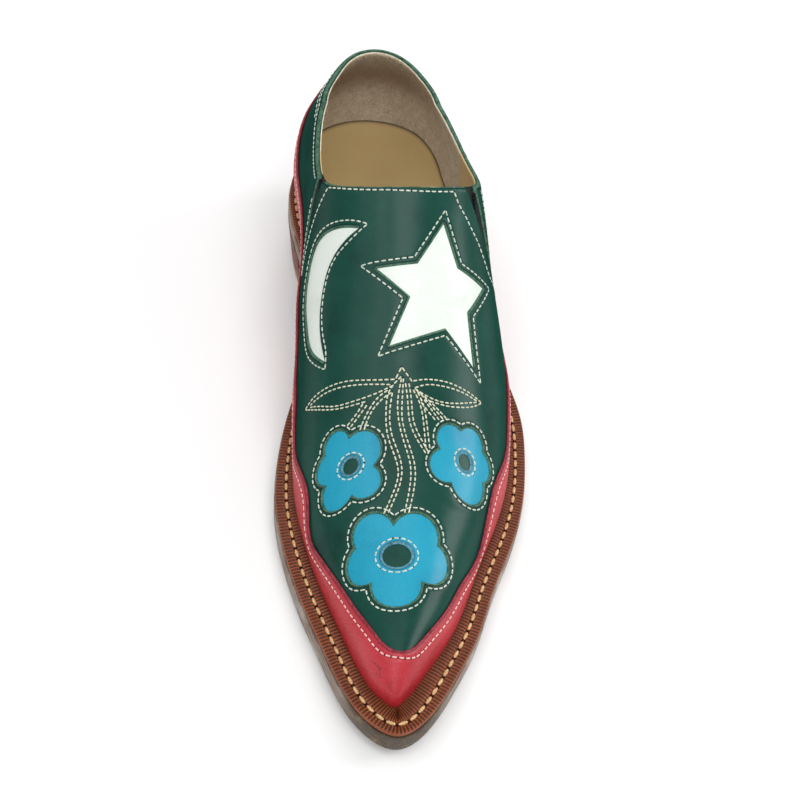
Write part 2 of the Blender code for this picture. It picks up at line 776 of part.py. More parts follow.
def through(points, count):
    """Points along a smooth curve through given points."""
    points = np.array(points)
    knots = np.concatenate([[0.0], np.cumsum(np.linalg.norm(np.diff(points, axis=0), axis=1))])
    places = np.linspace(0.0, knots[-1], count)
    return np.column_stack([spline(knots, points[:, axis])(places) for axis in range(2)])


def moon_outline():
    """White crescent: its outer arc and then its inner arc."""
    return np.vstack([through(MOON_OUTER, MOON_STEPS)[:-1], through(MOON_INNER, MOON_STEPS)[:-1]])


def arc_through(start, middle, end, count):
    """Points of the circle arc through three points, without the last of them."""
    matrix = 2.0 * np.array([middle - start, end - start])
    right = np.array([middle @ middle - start @ start, end @ end - start @ start])
    centre = np.linalg.solve(matrix, right)
    radius = np.linalg.norm(start - centre)
    angles = [math.atan2(*(point - centre)[::-1]) for point in (start, middle, end)]
    full = 2.0 * math.pi
    swing = (angles[2] - angles[0]) % full
    if (angles[1] - angles[0]) % full > swing:
        swing -= full
    turns = angles[0] + swing * np.arange(count) / count
    return centre + radius * np.column_stack([np.cos(turns), np.sin(turns)])


def flower_outline(name):
    """Turquoise flower: a circle arc for each petal, from notch to notch over its tip."""
    centre, petals = FLOWERS[name]
    points = []
    for place, petal in enumerate(petals):
        following = petals[(place + 1) % len(petals)]
        start, tip, end = np.array(petal[:2]), np.array(petal[2:]), np.array(following[:2])
        points.append(arc_through(start, tip, end, PETAL_STEPS))
    return np.vstack(points) + np.array(centre)


def patch(name, outline, low, high, surface):
    """Solid between two offsets of the outer surface, inside an outline of girth and ridge distances."""
    inside = []
    lowest, highest = outline.min(axis=0), outline.max(axis=0)
    for girth in np.arange(lowest[0] + PATCH_STEP / 2.0, highest[0], PATCH_STEP):
        for along in np.arange(lowest[1] + PATCH_STEP / 2.0, highest[1], PATCH_STEP):
            if np.min(np.hypot(*(outline - (girth, along)).T)) > PATCH_STEP / 2.0:
                inside.append((girth, along))
    flat = [Vector(point) for point in outline.tolist() + inside]
    loop = [(place, (place + 1) % len(outline)) for place in range(len(outline))]
    corners, _, faces, _, _, _ = delaunay_2d_cdt(flat, loop, [list(range(len(outline)))], 1, 1e-4)
    places = [(station_at(corner[1]), corner[0]) for corner in corners]
    points = np.array([skin(*place) for place in places])
    normals = np.array([skin_normal(*place) for place in places])
    return shell(name, points, faces, normals, low, high, surface)


def collar_girth(station, side):
    """Distance round from the ridge line down to the collar."""
    wall = section(mid_spoke(station, SIDES[side]))
    return arc_length(wall)[-1] - arc_length(trimmed(wall))[-1]


def gore_solid(name, side, inset, top, low, high, surface):
    """Wedge in a slit beside the vamp, between two offsets of the outer surface."""
    foot = GORE_FOOT[side]
    length = foot - GORE_START
    columns = []
    for girth in np.linspace(top, foot - inset * GORE_TIP, GORE_STEPS):
        share = (girth - GORE_START) / length
        corners = []
        front = float(GORE[side + "_front"](share)) - inset
        rear = float(GORE[side + "_rear"](share)) + inset
        for station in (front, rear):
            point = skin(station, SIDES[side] * girth)
            normal = skin_normal(station, SIDES[side] * girth)
            corners.append((point + high * normal, point + low * normal))
        (front_out, front_in), (rear_out, rear_in) = corners
        columns.append((front_out, rear_out, rear_in, front_in))
    points = np.array(columns).reshape(-1, 3)
    faces = [(0, 1, 2, 3), tuple(range(len(points) - 4, len(points)))]
    for here in range(0, len(points) - 4, 4):
        for row in range(4):
            beside = (row + 1) % 4
            faces.append((here + row, here + beside, here + 4 + beside, here + 4 + row))
    return solid(name, points, faces, surface)


def cut(target, cutter):
    """Cuts one solid out of another, leaving the cutter as a guide."""
    cutter.hide_render = True
    cutter.display_type = "WIRE"
    modifier = target.modifiers.new(cutter.name, "BOOLEAN")
    modifier.operation = "DIFFERENCE"
    modifier.solver = "EXACT"
    modifier.object = cutter


def make_gores(upper, surface):
    """Elastic gores in slits cut through the upper."""
    middle = -WALL / 2.0
    half = GORE_THICKNESS / 2.0
    for side in SIDES:
        cut(upper, gore_solid(side + "_slit", side, 0.0, GORE_START, -2.0 * WALL, WALL, surface))
        top = collar_girth(GORE_STATION[side], side) + GORE_DROP
        gore_solid(side + "_gore", side, GAP, top, middle - half, middle + half, surface)


def make_inlays(upper, white, turquoise):
    """Moon, star and flowers, each let into a shallow pocket in the upper."""
    outlines = {"moon_inlay": (moon_outline(), white), "star_inlay": (star_outline(), white)}
    for name in FLOWERS:
        outlines[name + "_flower_inlay"] = (flower_outline(name), turquoise)
    for name, (outline, surface) in outlines.items():
        cut(upper, patch(name + "_pocket", outline, -POCKET_DEPTH, WALL, surface))
        patch(name, shrunk(outline, GAP), GAP - POCKET_DEPTH, -INLAY_SINK, surface)


def clear_scene():
    """Removes every object of the starting scene."""
    for item in list(bpy.data.objects):
        bpy.data.objects.remove(item, do_unlink=True)


def build():
    """Makes every piece of the shoe."""
    clear_scene()
    make_outsole(material("sole leather", (0.10, 0.06, 0.045), 0.6))
    make_welt(material("welt leather", (0.20, 0.06, 0.025), 0.55))
    heel_leather = material("heel leather", (0.18, 0.07, 0.05), 0.5)
    make_heel(heel_leather, material("top piece rubber", (0.30, 0.22, 0.15), 0.8))
    make_insole(material("sock leather", (0.30, 0.20, 0.10), 0.6))
    upper = make_upper(material("green leather", (0.02, 0.09, 0.06), 0.4))
    make_overlays(material("red leather", (0.58, 0.035, 0.05), 0.4))
    make_gores(upper, material("black elastic", (0.01, 0.01, 0.012), 0.9))
    white = material("white leather", (0.82, 0.88, 0.84), 0.4)
    make_inlays(upper, white, material("turquoise leather", (0.03, 0.38, 0.60), 0.4))


build()
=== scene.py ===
"""Looks of a western slip-on shoe: leathers, inlays, stitching, welt, stacked heel, lining and light."""
import math

import bpy
import numpy as np
from mathutils import Matrix, Vector
from mathutils.geometry import delaunay_2d_cdt


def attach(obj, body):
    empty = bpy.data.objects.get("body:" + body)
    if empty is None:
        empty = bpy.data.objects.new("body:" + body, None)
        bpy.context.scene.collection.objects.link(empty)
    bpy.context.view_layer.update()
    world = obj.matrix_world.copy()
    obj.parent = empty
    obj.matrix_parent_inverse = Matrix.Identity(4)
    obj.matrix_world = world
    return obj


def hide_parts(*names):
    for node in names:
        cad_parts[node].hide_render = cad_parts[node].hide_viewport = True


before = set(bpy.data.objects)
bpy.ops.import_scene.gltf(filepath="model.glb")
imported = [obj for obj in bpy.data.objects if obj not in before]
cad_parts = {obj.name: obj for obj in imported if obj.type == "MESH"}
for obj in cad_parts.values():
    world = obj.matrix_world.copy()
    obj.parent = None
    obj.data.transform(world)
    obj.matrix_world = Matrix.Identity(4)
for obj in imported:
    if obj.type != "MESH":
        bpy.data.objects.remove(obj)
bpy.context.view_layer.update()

# Sizes are in millimetres. The tables repeat those of the solids.
MM = 0.001
SHOE_LENGTH = 285.0
HALF_LENGTH = SHOE_LENGTH / 2.0
CENTRE = (4.293, 0.333, 0.0)
WALL = 2.2
GAP = 0.3
WELT_THICKNESS = 3.2
OUTSOLE_LIP = 0.5
HEEL_BREAST = 64.0
HEEL_TAPER = 2.5
TOP_PIECE_THICKNESS = 4.6
HEEL_LIFTS = 3

SOLE_ROWS = (
    (12.0, 25.0, 25.0, 6.3, 6.3),
    (38.0, 33.5, 33.5, 6.3, 6.3),
    (70.0, 29.8, 35.4, 5.8, 6.2),
    (100.0, 28.0, 41.0, 5.6, 6.6),
    (125.0, 33.4, 49.3, 7.2, 8.7),
    (145.0, 39.6, 53.6, 8.8, 10.3),
    (165.0, 43.6, 52.5, 9.8, 10.4),
    (184.0, 45.2, 49.0, 10.4, 10.2),
    (205.0, 43.2, 41.6, 10.4, 10.2),
    (226.0, 38.7, 31.5, 10.4, 10.2),
    (247.0, 32.4, 22.5, 10.2, 10.4),
    (263.0, 27.3, 13.0, 10.2, 11.2),
    (275.0, 21.4, 4.6, 10.6, 12.0),
)
HEEL_END = (0.0, 0.0, 7.2)
TOE_END = (-9.2, 284.4, 11.4)
PROFILE_ROWS = (
    (0.0, 28.9, 6.0),
    (40.0, 28.5, 6.0),
    (70.0, 25.6, 5.4),
    (100.0, 19.3, 5.0),
    (115.0, 15.0, 5.8),
    (130.0, 11.2, 7.6),
    (145.0, 9.0, 9.0),
    (160.0, 8.5, 9.4),
    (185.0, 8.5, 9.2),
    (210.0, 8.8, 9.2),
    (235.0, 9.9, 9.0),
    (260.0, 11.9, 9.0),
    (285.0, 14.4, 9.0),
)
PAD_ROWS = (
    (0.0, 17.0),
    (50.0, 16.5),
    (75.0, 14.0),
    (100.0, 9.5),
    (125.0, 5.2),
    (145.0, 3.3),
    (160.0, 3.0),
    (220.0, 3.0),
    (285.0, 3.0),
)
LAST_COLUMNS = (
    "station", "ridge_x", "ridge_z", "rise",
    "medial_bulge", "medial_fullness", "lateral_bulge", "lateral_fullness",
)
LAST_ROWS = (
    (42.0, 0.0, 104.0, 20.0, 4.0, 2.00, 4.0, 2.20),
    (57.0, 0.0, 108.5, 22.0, 4.8, 2.18, 5.2, 2.42),
    (75.0, 0.0, 113.5, 25.0, 7.0, 2.38, 5.8, 2.75),
    (92.0, 0.0, 110.5, 25.0, 9.2, 2.40, 6.2, 2.80),
    (107.0, 0.0, 99.5, 23.0, 10.4, 2.10, 5.2, 2.35),
    (125.0, 0.0, 85.3, 20.0, 8.4, 2.00, 3.7, 2.05),
    (145.0, -0.5, 71.0, 16.0, 5.6, 2.00, 2.1, 1.92),
    (165.0, -1.5, 58.6, 13.0, 3.4, 2.00, 1.4, 1.85),
    (187.0, -3.0, 47.6, 10.5, 2.6, 2.00, 1.4, 1.90),
    (205.0, -4.2, 41.3, 9.0, 2.2, 2.00, 1.4, 2.00),
    (225.0, -5.4, 36.6, 7.5, 1.8, 2.00, 1.4, 2.00),
    (245.0, -6.8, 33.6, 6.0, 1.4, 2.00, 1.0, 2.00),
    (262.0, -7.8, 31.0, 5.0, 1.2, 2.00, 0.8, 2.00),
)
TOE_TIP = {"bulge": 0.9, "rise": 4.6, "fullness": 2.0}
HEEL_BACK = {"bulge": 1.2, "rise": 19.0, "fullness": 2.2, "ridge_z": 110.0}
HEEL_PINCH = 0.28
TOE_STATION = 262.0
HEEL_STATION = 42.0
THROAT_STATION = 107.0
COLLAR_ROWS = (
    (35.5, 99.5),
    (42.0, 94.0),
    (50.0, 88.8),
    (60.0, 85.3),
    (73.0, 83.6),
    (88.0, 84.6),
    (104.0, 88.0),
    (118.0, 91.3),
    (130.0, 93.2),
)
OVERLAY_ROWS = (
    (0.0, 54.0, 54.0),
    (9.0, 53.0, 53.0),
    (14.0, 49.5, 49.5),
    (19.0, 44.5, 44.5),
    (25.0, 41.8, 41.8),
    (32.0, 40.0, 40.0),
    (40.0, 32.0, 32.0),
    (48.0, 27.0, 26.0),
    (60.0, 26.5, 24.0),
    (90.0, 26.5, 24.6),
    (113.0, 25.7, 25.5),
    (133.0, 21.9, 22.8),
    (148.0, 22.7, 22.7),
    (158.0, 18.3, 20.8),
    (167.0, 15.1, 18.6),
    (176.0, 17.7, 19.0),
    (189.0, 21.4, 21.8),
    (198.0, 19.1, 20.7),
    (209.0, 13.4, 16.1),
    (217.0, 14.6, 12.6),
    (230.0, 17.2, 15.4),
    (244.0, 18.8, 17.1),
    (255.0, 20.5, 18.7),
    (260.0, 23.1, 21.3),
    (262.0, 26.7, 24.7),
    (285.0, 60.0, 60.0),
)
OVERLAY_THICKNESS = 1.2
OVERLAY_SEAM = 92.0
GORE_ROWS = (
    (0.0, 90.0, 82.5, 98.5, 90.5),
    (0.3, 91.4, 85.6, 105.6, 99.2),
    (0.65, 94.8, 91.4, 110.5, 107.8),
    (1.0, 98.8, 98.0, 112.5, 111.7),
)
GORE_START = 26.0
GORE_FOOT = {"medial": 71.0, "lateral": 64.0}
SIDES = {"medial": -1.0, "lateral": 1.0}

# Ornament, as distance round from the ridge line (outer side positive) and distance along it from the throat
STAR_ROWS = (
    (18.2, 11.0, 24.4, 25.0),
    (40.0, 24.8, 29.0, 39.6),
    (31.6, 59.4, 18.4, 49.4),
    (-3.4, 58.3, 4.4, 40.3),
    (-8.2, 29.2, 7.2, 27.9),
)
MOON_OUTER = (
    (-16.1, 11.4),
    (-31.9, 3.9),
    (-46.0, 2.8),
    (-54.3, 12.0),
    (-51.0, 27.0),
    (-42.6, 42.7),
    (-31.8, 54.2),
)
MOON_INNER = (
    (-31.8, 54.2),
    (-36.0, 42.0),
    (-37.0, 28.0),
    (-32.0, 17.0),
    (-16.1, 11.4),
)
FLOWERS = {
    "big": ((-0.4, 136.5), (
        (-1.2, -10.4, 11.8, -14.0),
        (15.0, -4.6, 19.4, 1.4),
        (8.6, 9.0, 0.0, 19.2),
        (-9.0, 8.6, -18.6, 1.0),
        (-14.6, -5.0, -13.4, -14.4),
    )),
    "medial": ((-18.0, 100.1), (
        (-0.6, -9.8, 9.6, -9.4),
        (8.6, 2.1, 11.6, 9.5),
        (1.1, 10.6, -7.6, 13.9),
        (-9.1, 3.6, -14.0, -3.6),
        (-10.0, -7.4, -6.9, -14.4),
    )),
    "lateral": ((27.0, 97.9), (
        (-1.8, -10.8, 5.0, -13.4),
        (8.2, -6.5, 12.6, -1.6),
        (8.4, 4.6, 1.9, 15.0),
        (-6.0, 8.8, -14.5, 4.6),
        (-10.1, -2.4, -9.3, -11.4),
    )),
}
# Flower hearts: centre from the flower's own, half widths of the hole, half widths of the stitched ring
HEARTS = {
    "big": ((0.0, 0.0), (5.2, 4.3), (7.8, 6.5)),
    "medial": ((0.6, 0.3), (2.9, 2.9), (5.3, 4.9)),
    "lateral": ((-0.2, 0.0), (2.6, 3.0), (4.8, 5.1)),
}
# Stitched apex, leaves and stems, each a smooth line through points
STEMS = (
    ((-1.2, 71.1), (1.0, 66.5)),
    ((1.0, 66.5), (5.1, 72.0)),
    ((-1.2, 71.1), (-8.2, 70.6), (-17.6, 68.4), (-29.1, 66.2), (-38.6, 66.0), (-42.6, 66.8)),
    ((-2.7, 73.0), (-8.2, 72.2), (-18.6, 70.0), (-29.6, 68.0), (-38.8, 67.6)),
    ((-42.6, 66.8), (-32.0, 73.1), (-23.6, 76.9), (-18.2, 77.9), (-11.8, 77.9)),
    ((-38.8, 68.2), (-30.8, 72.4), (-24.1, 75.6), (-17.2, 76.5), (-8.3, 75.6), (-1.7, 73.2)),
    ((5.1, 71.6), (9.1, 70.6), (13.6, 70.0), (19.2, 69.8), (24.4, 70.2), (30.1, 71.0), (35.0, 72.2)),
    ((5.7, 74.2), (10.1, 72.4), (15.1, 71.8), (20.2, 71.6), (26.4, 71.8), (32.6, 72.6)),
    ((35.0, 72.2), (29.8, 75.8), (24.7, 77.7), (19.0, 78.8), (11.4, 78.2)),
    ((32.5, 73.0), (26.2, 75.6), (20.6, 77.3), (15.4, 77.7), (11.3, 76.8), (5.7, 74.2)),
    ((-12.8, 78.2), (-15.6, 82.0), (-19.0, 85.2)),
    ((-11.3, 79.1), (-14.3, 82.7), (-17.6, 86.2)),
    ((-3.7, 74.8), (-7.4, 77.2), (-10.4, 80.9), (-12.5, 84.7), (-13.9, 88.4)),
    ((-2.3, 75.7), (-5.7, 77.9), (-8.8, 80.9), (-11.0, 84.7), (-12.3, 88.6)),
    ((1.1, 69.9), (-3.6, 75.8), (-4.4, 82.0), (-3.7, 91.4), (-0.6, 100.8), (0.3, 105.0), (-1.6, 113.4),
     (-5.0, 121.1)),
    ((-2.2, 75.7), (-3.0, 82.0), (-2.2, 91.4), (1.0, 100.8), (1.6, 105.4), (-0.2, 113.4), (-3.4, 120.8)),
    ((1.1, 70.5), (-0.2, 78.4), (0.0, 84.7), (2.4, 94.7), (4.8, 104.0), (4.5, 110.6), (2.4, 121.1)),
    ((1.7, 70.5), (1.4, 78.4), (1.4, 84.7), (3.9, 94.7), (6.4, 104.0), (6.1, 110.6), (3.9, 121.1)),
    ((2.4, 72.2), (3.4, 79.0), (4.2, 86.4), (7.0, 93.0), (10.5, 98.2)),
    ((3.7, 72.2), (4.8, 79.0), (5.6, 86.0), (8.3, 92.4), (11.4, 97.6)),
    ((5.2, 74.5), (7.6, 78.8), (9.2, 85.0), (9.9, 91.0), (10.4, 96.4)),
    ((6.9, 75.2), (9.1, 79.6), (10.6, 86.0), (11.3, 91.6), (11.9, 96.2)),
    ((8.2, 78.9), (11.0, 82.1), (14.1, 85.2)),
    ((9.4, 77.9), (12.4, 81.4), (15.6, 84.9)),
    ((7.6, 75.5), (11.2, 77.9), (14.4, 80.4), (18.6, 83.8)),
    ((6.4, 74.7), (10.0, 77.7), (13.8, 81.2), (17.2, 84.3)),
)
# Stitching on the vamp, along the throat and down beside each slit
VAMP_LINES = (
    ((-31.9, -12.6), (-17.9, -3.7), (-7.2, 0.5), (3.9, 1.5), (14.9, 0.2), (22.8, -2.4)),
    ((-31.9, -12.6), (-42.5, -10.6), (-52.4, -8.2), (-67.6, -4.3)),
    ((-67.6, -4.3), (-75.1, -12.0)),
    ((-75.1, -12.0), (-69.2, -14.5), (-58.5, -19.3), (-50.3, -22.8)),
    ((22.8, -2.4), (25.2, 1.0), (29.4, 3.9), (33.1, 6.4), (38.8, 9.4), (43.1, 12.6), (47.4, 15.4)),
    ((47.4, 15.4), (55.0, 14.2), (62.0, 13.4), (69.0, 12.6)),
    ((69.0, 12.6), (69.6, 2.4)),
    ((69.6, 2.4), (58.0, -3.4), (50.0, -9.4), (43.6, -15.4)),
)

OUTLINE_SAMPLES = 1440
FOOT_SAMPLES = 20
SECTION_SAMPLES = 60


def limited(values):
    """Values held between none and one."""
    return np.clip(values, 0.0, 1.0)


def spline(knots, values):
    """Smooth curve through the values at the knots, as a function."""
    knots = np.asarray(knots, dtype=float)
    values = np.asarray(values, dtype=float)
    count = len(knots)
    step = np.diff(knots)
    slope = np.diff(values) / step
    matrix = np.eye(count)
    right = np.zeros(count)
    for row in range(1, count - 1):
        matrix[row, row - 1] = step[row - 1]
        matrix[row, row] = 2.0 * (step[row - 1] + step[row])
        matrix[row, row + 1] = step[row]
        right[row] = 6.0 * (slope[row] - slope[row - 1])
    bend = np.linalg.solve(matrix, right)

    def value(x):
        """Height of the curve at places between the first and the last knot."""
        x = np.clip(x, knots[0], knots[-1])
        at = np.clip(np.searchsorted(knots, x) - 1, 0, count - 2)
        run = x - knots[at]
        start = slope[at] - step[at] * (2.0 * bend[at] + bend[at + 1]) / 6.0
        rate = (bend[at + 1] - bend[at]) / (6.0 * step[at])
        return values[at] + run * start + run ** 2 * bend[at] / 2.0 + run ** 3 * rate

    return value


def table(rows, names):
    """One smooth function of the first column for each of the other columns."""
    columns = np.array(rows).T
    return {name: spline(columns[0], columns[place]) for place, name in enumerate(names) if place}


PROFILE = table(PROFILE_ROWS, ("station", "seat", "thickness"))
SEAT = PROFILE["seat"]
PAD = table(PAD_ROWS, ("station", "thickness"))["thickness"]
LAST = table(LAST_ROWS, LAST_COLUMNS)
COLLAR = table(COLLAR_ROWS, ("back", "height"))["height"]
OVERLAY = table(OVERLAY_ROWS, ("station", "medial", "lateral"))
GORE = table(GORE_ROWS, ("share", "medial_front", "medial_rear", "lateral_front", "lateral_rear"))


def sole_bottom(station):
    """Height of the outsole's underside."""
    return np.maximum(0.0, SEAT(station) - PROFILE["thickness"](station))


def welt_outline():
    """Plan of the welt's edge: points (x, station), inward normals and margins, heel end to heel end."""
    lateral = [(row[2], row[0], row[4]) for row in SOLE_ROWS]
    medial = [(-row[1], row[0], row[3]) for row in SOLE_ROWS[::-1]]
    points = np.array([HEEL_END] + lateral + [TOE_END] + medial)
    count = len(points)
    wrapped = np.vstack([points] * 3 + [points[:1]])
    chord = np.hypot(*np.diff(wrapped[:, :2], axis=0).T)
    knots = np.concatenate([[0.0], np.cumsum(chord)])
    along = np.linspace(knots[count], knots[2 * count], OUTLINE_SAMPLES, endpoint=False)
    dense = np.stack([spline(knots, wrapped[:, axis])(along) for axis in range(3)], axis=1)
    tangent = np.roll(dense[:, :2], -1, axis=0) - np.roll(dense[:, :2], 1, axis=0)
    tangent /= np.linalg.norm(tangent, axis=1)[:, None]
    inward = np.stack([-tangent[:, 1], tangent[:, 0]], axis=1)
    return dense[:, :2], inward, dense[:, 2]


EDGE, INWARD, MARGIN = welt_outline()


def plan_loop(share, inset):
    """Closed plan curve set in from the welt's edge by a share of the margin and a fixed distance."""
    return EDGE + INWARD * (share * MARGIN + inset)[:, None]


def reach(origin, direction, loop):
    """Distance from an origin along a plan direction to a closed plan curve."""
    offset = loop - origin
    side = offset[:, 0] * direction[1] - offset[:, 1] * direction[0]
    ahead = offset @ direction
    following = np.roll(side, -1)
    further = np.roll(ahead, -1)
    met = np.nonzero((side * following <= 0.0) & (ahead > 0.0) & (side != following))[0]
    share = side[met] / (side[met] - following[met])
    return float(np.min(ahead[met] + share * (further[met] - ahead[met])))


def mid_spoke(station, side):
    """Line across the foot at one station, from the ridge to one side."""
    name = "lateral_" if side > 0 else "medial_"
    return {
        "origin": np.array([float(LAST["ridge_x"](station)), station]),
        "direction": np.array([float(side), 0.0]),
        "bulge": float(LAST[name + "bulge"](station)),
        "rise": float(LAST["rise"](station)),
        "fullness": float(LAST[name + "fullness"](station)),
        "ridge_z": float(LAST["ridge_z"](station)),
    }


def fan_spoke(angle, station, end, pinch=0.0):
    """Line fanning out round the toe or the heel, drawn in half way round by a pinch."""
    side = 1.0 if math.cos(angle) >= 0.0 else -1.0
    spoke = mid_spoke(station, side)
    share = math.sin(angle) ** 2
    for name, value in end.items():
        spoke[name] += share * (value - spoke[name])
    spoke["fullness"] -= pinch * math.sin(2.0 * angle) ** 2
    spoke["direction"] = np.array([math.cos(angle), math.sin(angle)])
    return spoke


def ring_of_spokes(stations, toe_steps, heel_steps):
    """Spokes all round the shoe: lateral side, toe, medial side, heel."""
    toe = [math.pi * step / toe_steps for step in range(1, toe_steps)]
    heel = [math.pi * (1.0 + step / heel_steps) for step in range(1, heel_steps)]
    ring = [mid_spoke(station, 1.0) for station in stations]
    ring += [fan_spoke(angle, TOE_STATION, TOE_TIP) for angle in toe]
    ring += [mid_spoke(station, -1.0) for station in stations[::-1]]
    ring += [fan_spoke(angle, HEEL_STATION, HEEL_BACK, HEEL_PINCH) for angle in heel]
    return ring


FEATHER = plan_loop(1.0, 0.0)


def raised(plan, height):
    """Points x, y, z from plan points x, station and their heights."""
    return np.column_stack([plan[:, 0], HALF_LENGTH - plan[:, 1], height])


def section(spoke):
    """Outer surface of the last up one spoke, from the feather line to the ridge, as x, y, z points."""
    foot = reach(spoke["origin"], spoke["direction"], FEATHER)
    station = spoke["origin"][1] + spoke["direction"][1] * foot
    base = float(SEAT(station)) + GAP
    widest = foot + spoke["bulge"]
    level = base + spoke["rise"]
    power = 2.0 / spoke["fullness"]
    low = np.linspace(0.0, 1.0, FOOT_SAMPLES)
    high = np.linspace(0.0, math.pi / 2.0, SECTION_SAMPLES)[1:]
    along = np.concatenate([
        foot + spoke["bulge"] * np.sin(low * math.pi / 2.0),
        widest * limited(np.cos(high)) ** power,
    ])
    height = np.concatenate([
        base + spoke["rise"] * low,
        level + (spoke["ridge_z"] - level) * np.sin(high) ** power,
    ])
    plan = spoke["origin"] + spoke["direction"] * along[:, None]
    return raised(plan, height)


def arc_length(points):
    """Distance along a chain of points at each of them."""
    steps = np.linalg.norm(np.diff(points, axis=0), axis=1)
    return np.concatenate([[0.0], np.cumsum(steps)])


def resample(points, places):
    """Points at given distances along a chain."""
    along = arc_length(points)
    axes = range(points.shape[1])
    return np.stack([np.interp(places, along, points[:, axis]) for axis in axes], axis=1)


def trimmed(points):
    """A section cut off where it passes the collar line."""
    over = points[:, 2] - COLLAR(points[:, 1])
    over[points[:, 1] < HALF_LENGTH - THROAT_STATION - GAP] = -1.0
    above = np.nonzero(over > 0.0)[0]
    if len(above) == 0:
        return points
    last = above[0]
    share = over[last - 1] / (over[last - 1] - over[last])
    cut = points[last - 1] + share * (points[last] - points[last - 1])
    return np.vstack([points[:last], cut])


TINY = 1e-9


def unit(vectors):
    """Vectors scaled to length one."""
    size = np.linalg.norm(vectors, axis=-1, keepdims=True)
    return vectors / np.maximum(size, TINY)


# Charts of the last's surface
CHART_STEP = 0.5
CHART_STATIONS = np.arange(HEEL_STATION, TOE_STATION + CHART_STEP / 2.0, CHART_STEP)
CHART_GIRTH = 130.0
RIDGE_ALONG = arc_length(np.column_stack([
    LAST["ridge_x"](CHART_STATIONS), CHART_STATIONS, LAST["ridge_z"](CHART_STATIONS)]))
THROAT_ALONG = float(np.interp(THROAT_STATION, CHART_STATIONS, RIDGE_ALONG))


def station_at(along):
    """Stations at distances along the ridge line from the throat."""
    return np.interp(np.asarray(along) + THROAT_ALONG, RIDGE_ALONG, CHART_STATIONS)


def along_at(station):
    """Distances along the ridge line from the throat at stations."""
    return np.interp(station, CHART_STATIONS, RIDGE_ALONG) - THROAT_ALONG


def pattern_chart():
    """Surface points and normals on a grid of stations and girths, and the girths of feather and collar."""
    girths = np.arange(0.0, CHART_GIRTH + CHART_STEP / 2.0, CHART_STEP)
    halves = {}
    feather = {}
    collar = {}
    for side, sign in SIDES.items():
        walls = [section(mid_spoke(station, sign)) for station in CHART_STATIONS]
        feather[side] = np.array([arc_length(wall)[-1] for wall in walls])
        collar[side] = feather[side] - np.array([arc_length(trimmed(wall))[-1] for wall in walls])
        halves[side] = np.array([resample(wall[::-1], girths) for wall in walls])
    surface = np.concatenate([halves["medial"][:, :0:-1], halves["lateral"]], axis=1)
    normals = unit(np.cross(np.gradient(surface, axis=1), -np.gradient(surface, axis=0)))
    return surface, normals, feather, collar


CHART, CHART_NORMALS, FEATHER_GIRTH, COLLAR_GIRTH = pattern_chart()
# Places are held this far inside a grid's size, so that another row or column follows each of them
GRID_END = 1.001


def blend_grid(grid, rows, columns):
    """Values of a grid at fractional rows and columns."""
    rows = np.clip(rows, 0.0, grid.shape[0] - GRID_END)
    columns = np.clip(columns, 0.0, grid.shape[1] - GRID_END)
    top = rows.astype(int)
    left = columns.astype(int)
    down = (rows - top)[:, None]
    over = (columns - left)[:, None]
    upper = grid[top, left] * (1.0 - over) + grid[top, left + 1] * over
    lower = grid[top + 1, left] * (1.0 - over) + grid[top + 1, left + 1] * over
    return upper * (1.0 - down) + lower * down


TOE_TURNS = 180
TOE_GIRTH = 60.0
TOE_MIDDLE = 3
TOE_ALONG = float(along_at(TOE_STATION))


def toe_chart():
    """Points and normals of the toe on a grid of turns and distances, and the feather's distance."""
    girths = np.arange(0.0, TOE_GIRTH + CHART_STEP / 2.0, CHART_STEP)
    angles = [math.pi * turn / TOE_TURNS for turn in range(TOE_TURNS + 1)]
    walls = [section(fan_spoke(angle, TOE_STATION, TOE_TIP)) for angle in angles]
    surface = np.array([resample(wall[::-1], girths) for wall in walls])
    normals = unit(np.cross(np.gradient(surface, axis=0), np.gradient(surface, axis=1)))
    normals[:, :TOE_MIDDLE] = unit(normals[:, TOE_MIDDLE].mean(axis=0))
    return surface, normals, np.array([arc_length(wall)[-1] for wall in walls])


TOE_CHART, TOE_NORMALS, TOE_FEATHER = toe_chart()


def pattern(places):
    """Points and normals of the outer surface at places, each a girth and a distance along the ridge."""
    places = np.asarray(places, dtype=float)
    rows = (station_at(places[:, 1]) - HEEL_STATION) / CHART_STEP
    columns = (places[:, 0] + CHART_GIRTH) / CHART_STEP
    points = blend_grid(CHART, rows, columns)
    normals = blend_grid(CHART_NORMALS, rows, columns)
    ahead = places[:, 1] > TOE_ALONG
    past = places[ahead] - (0.0, TOE_ALONG)
    turns = np.arctan2(past[:, 1], past[:, 0]) / math.pi * TOE_TURNS
    girths = np.hypot(past[:, 0], past[:, 1]) / CHART_STEP
    points[ahead] = blend_grid(TOE_CHART, turns, girths)
    normals[ahead] = blend_grid(TOE_NORMALS, turns, girths)
    return points, unit(normals)


RING_STEP = 1.0
RING_TOE_STEPS = 56
RING_HEEL_STEPS = 80
UP_STEP = 0.75
UP_COUNT = 170


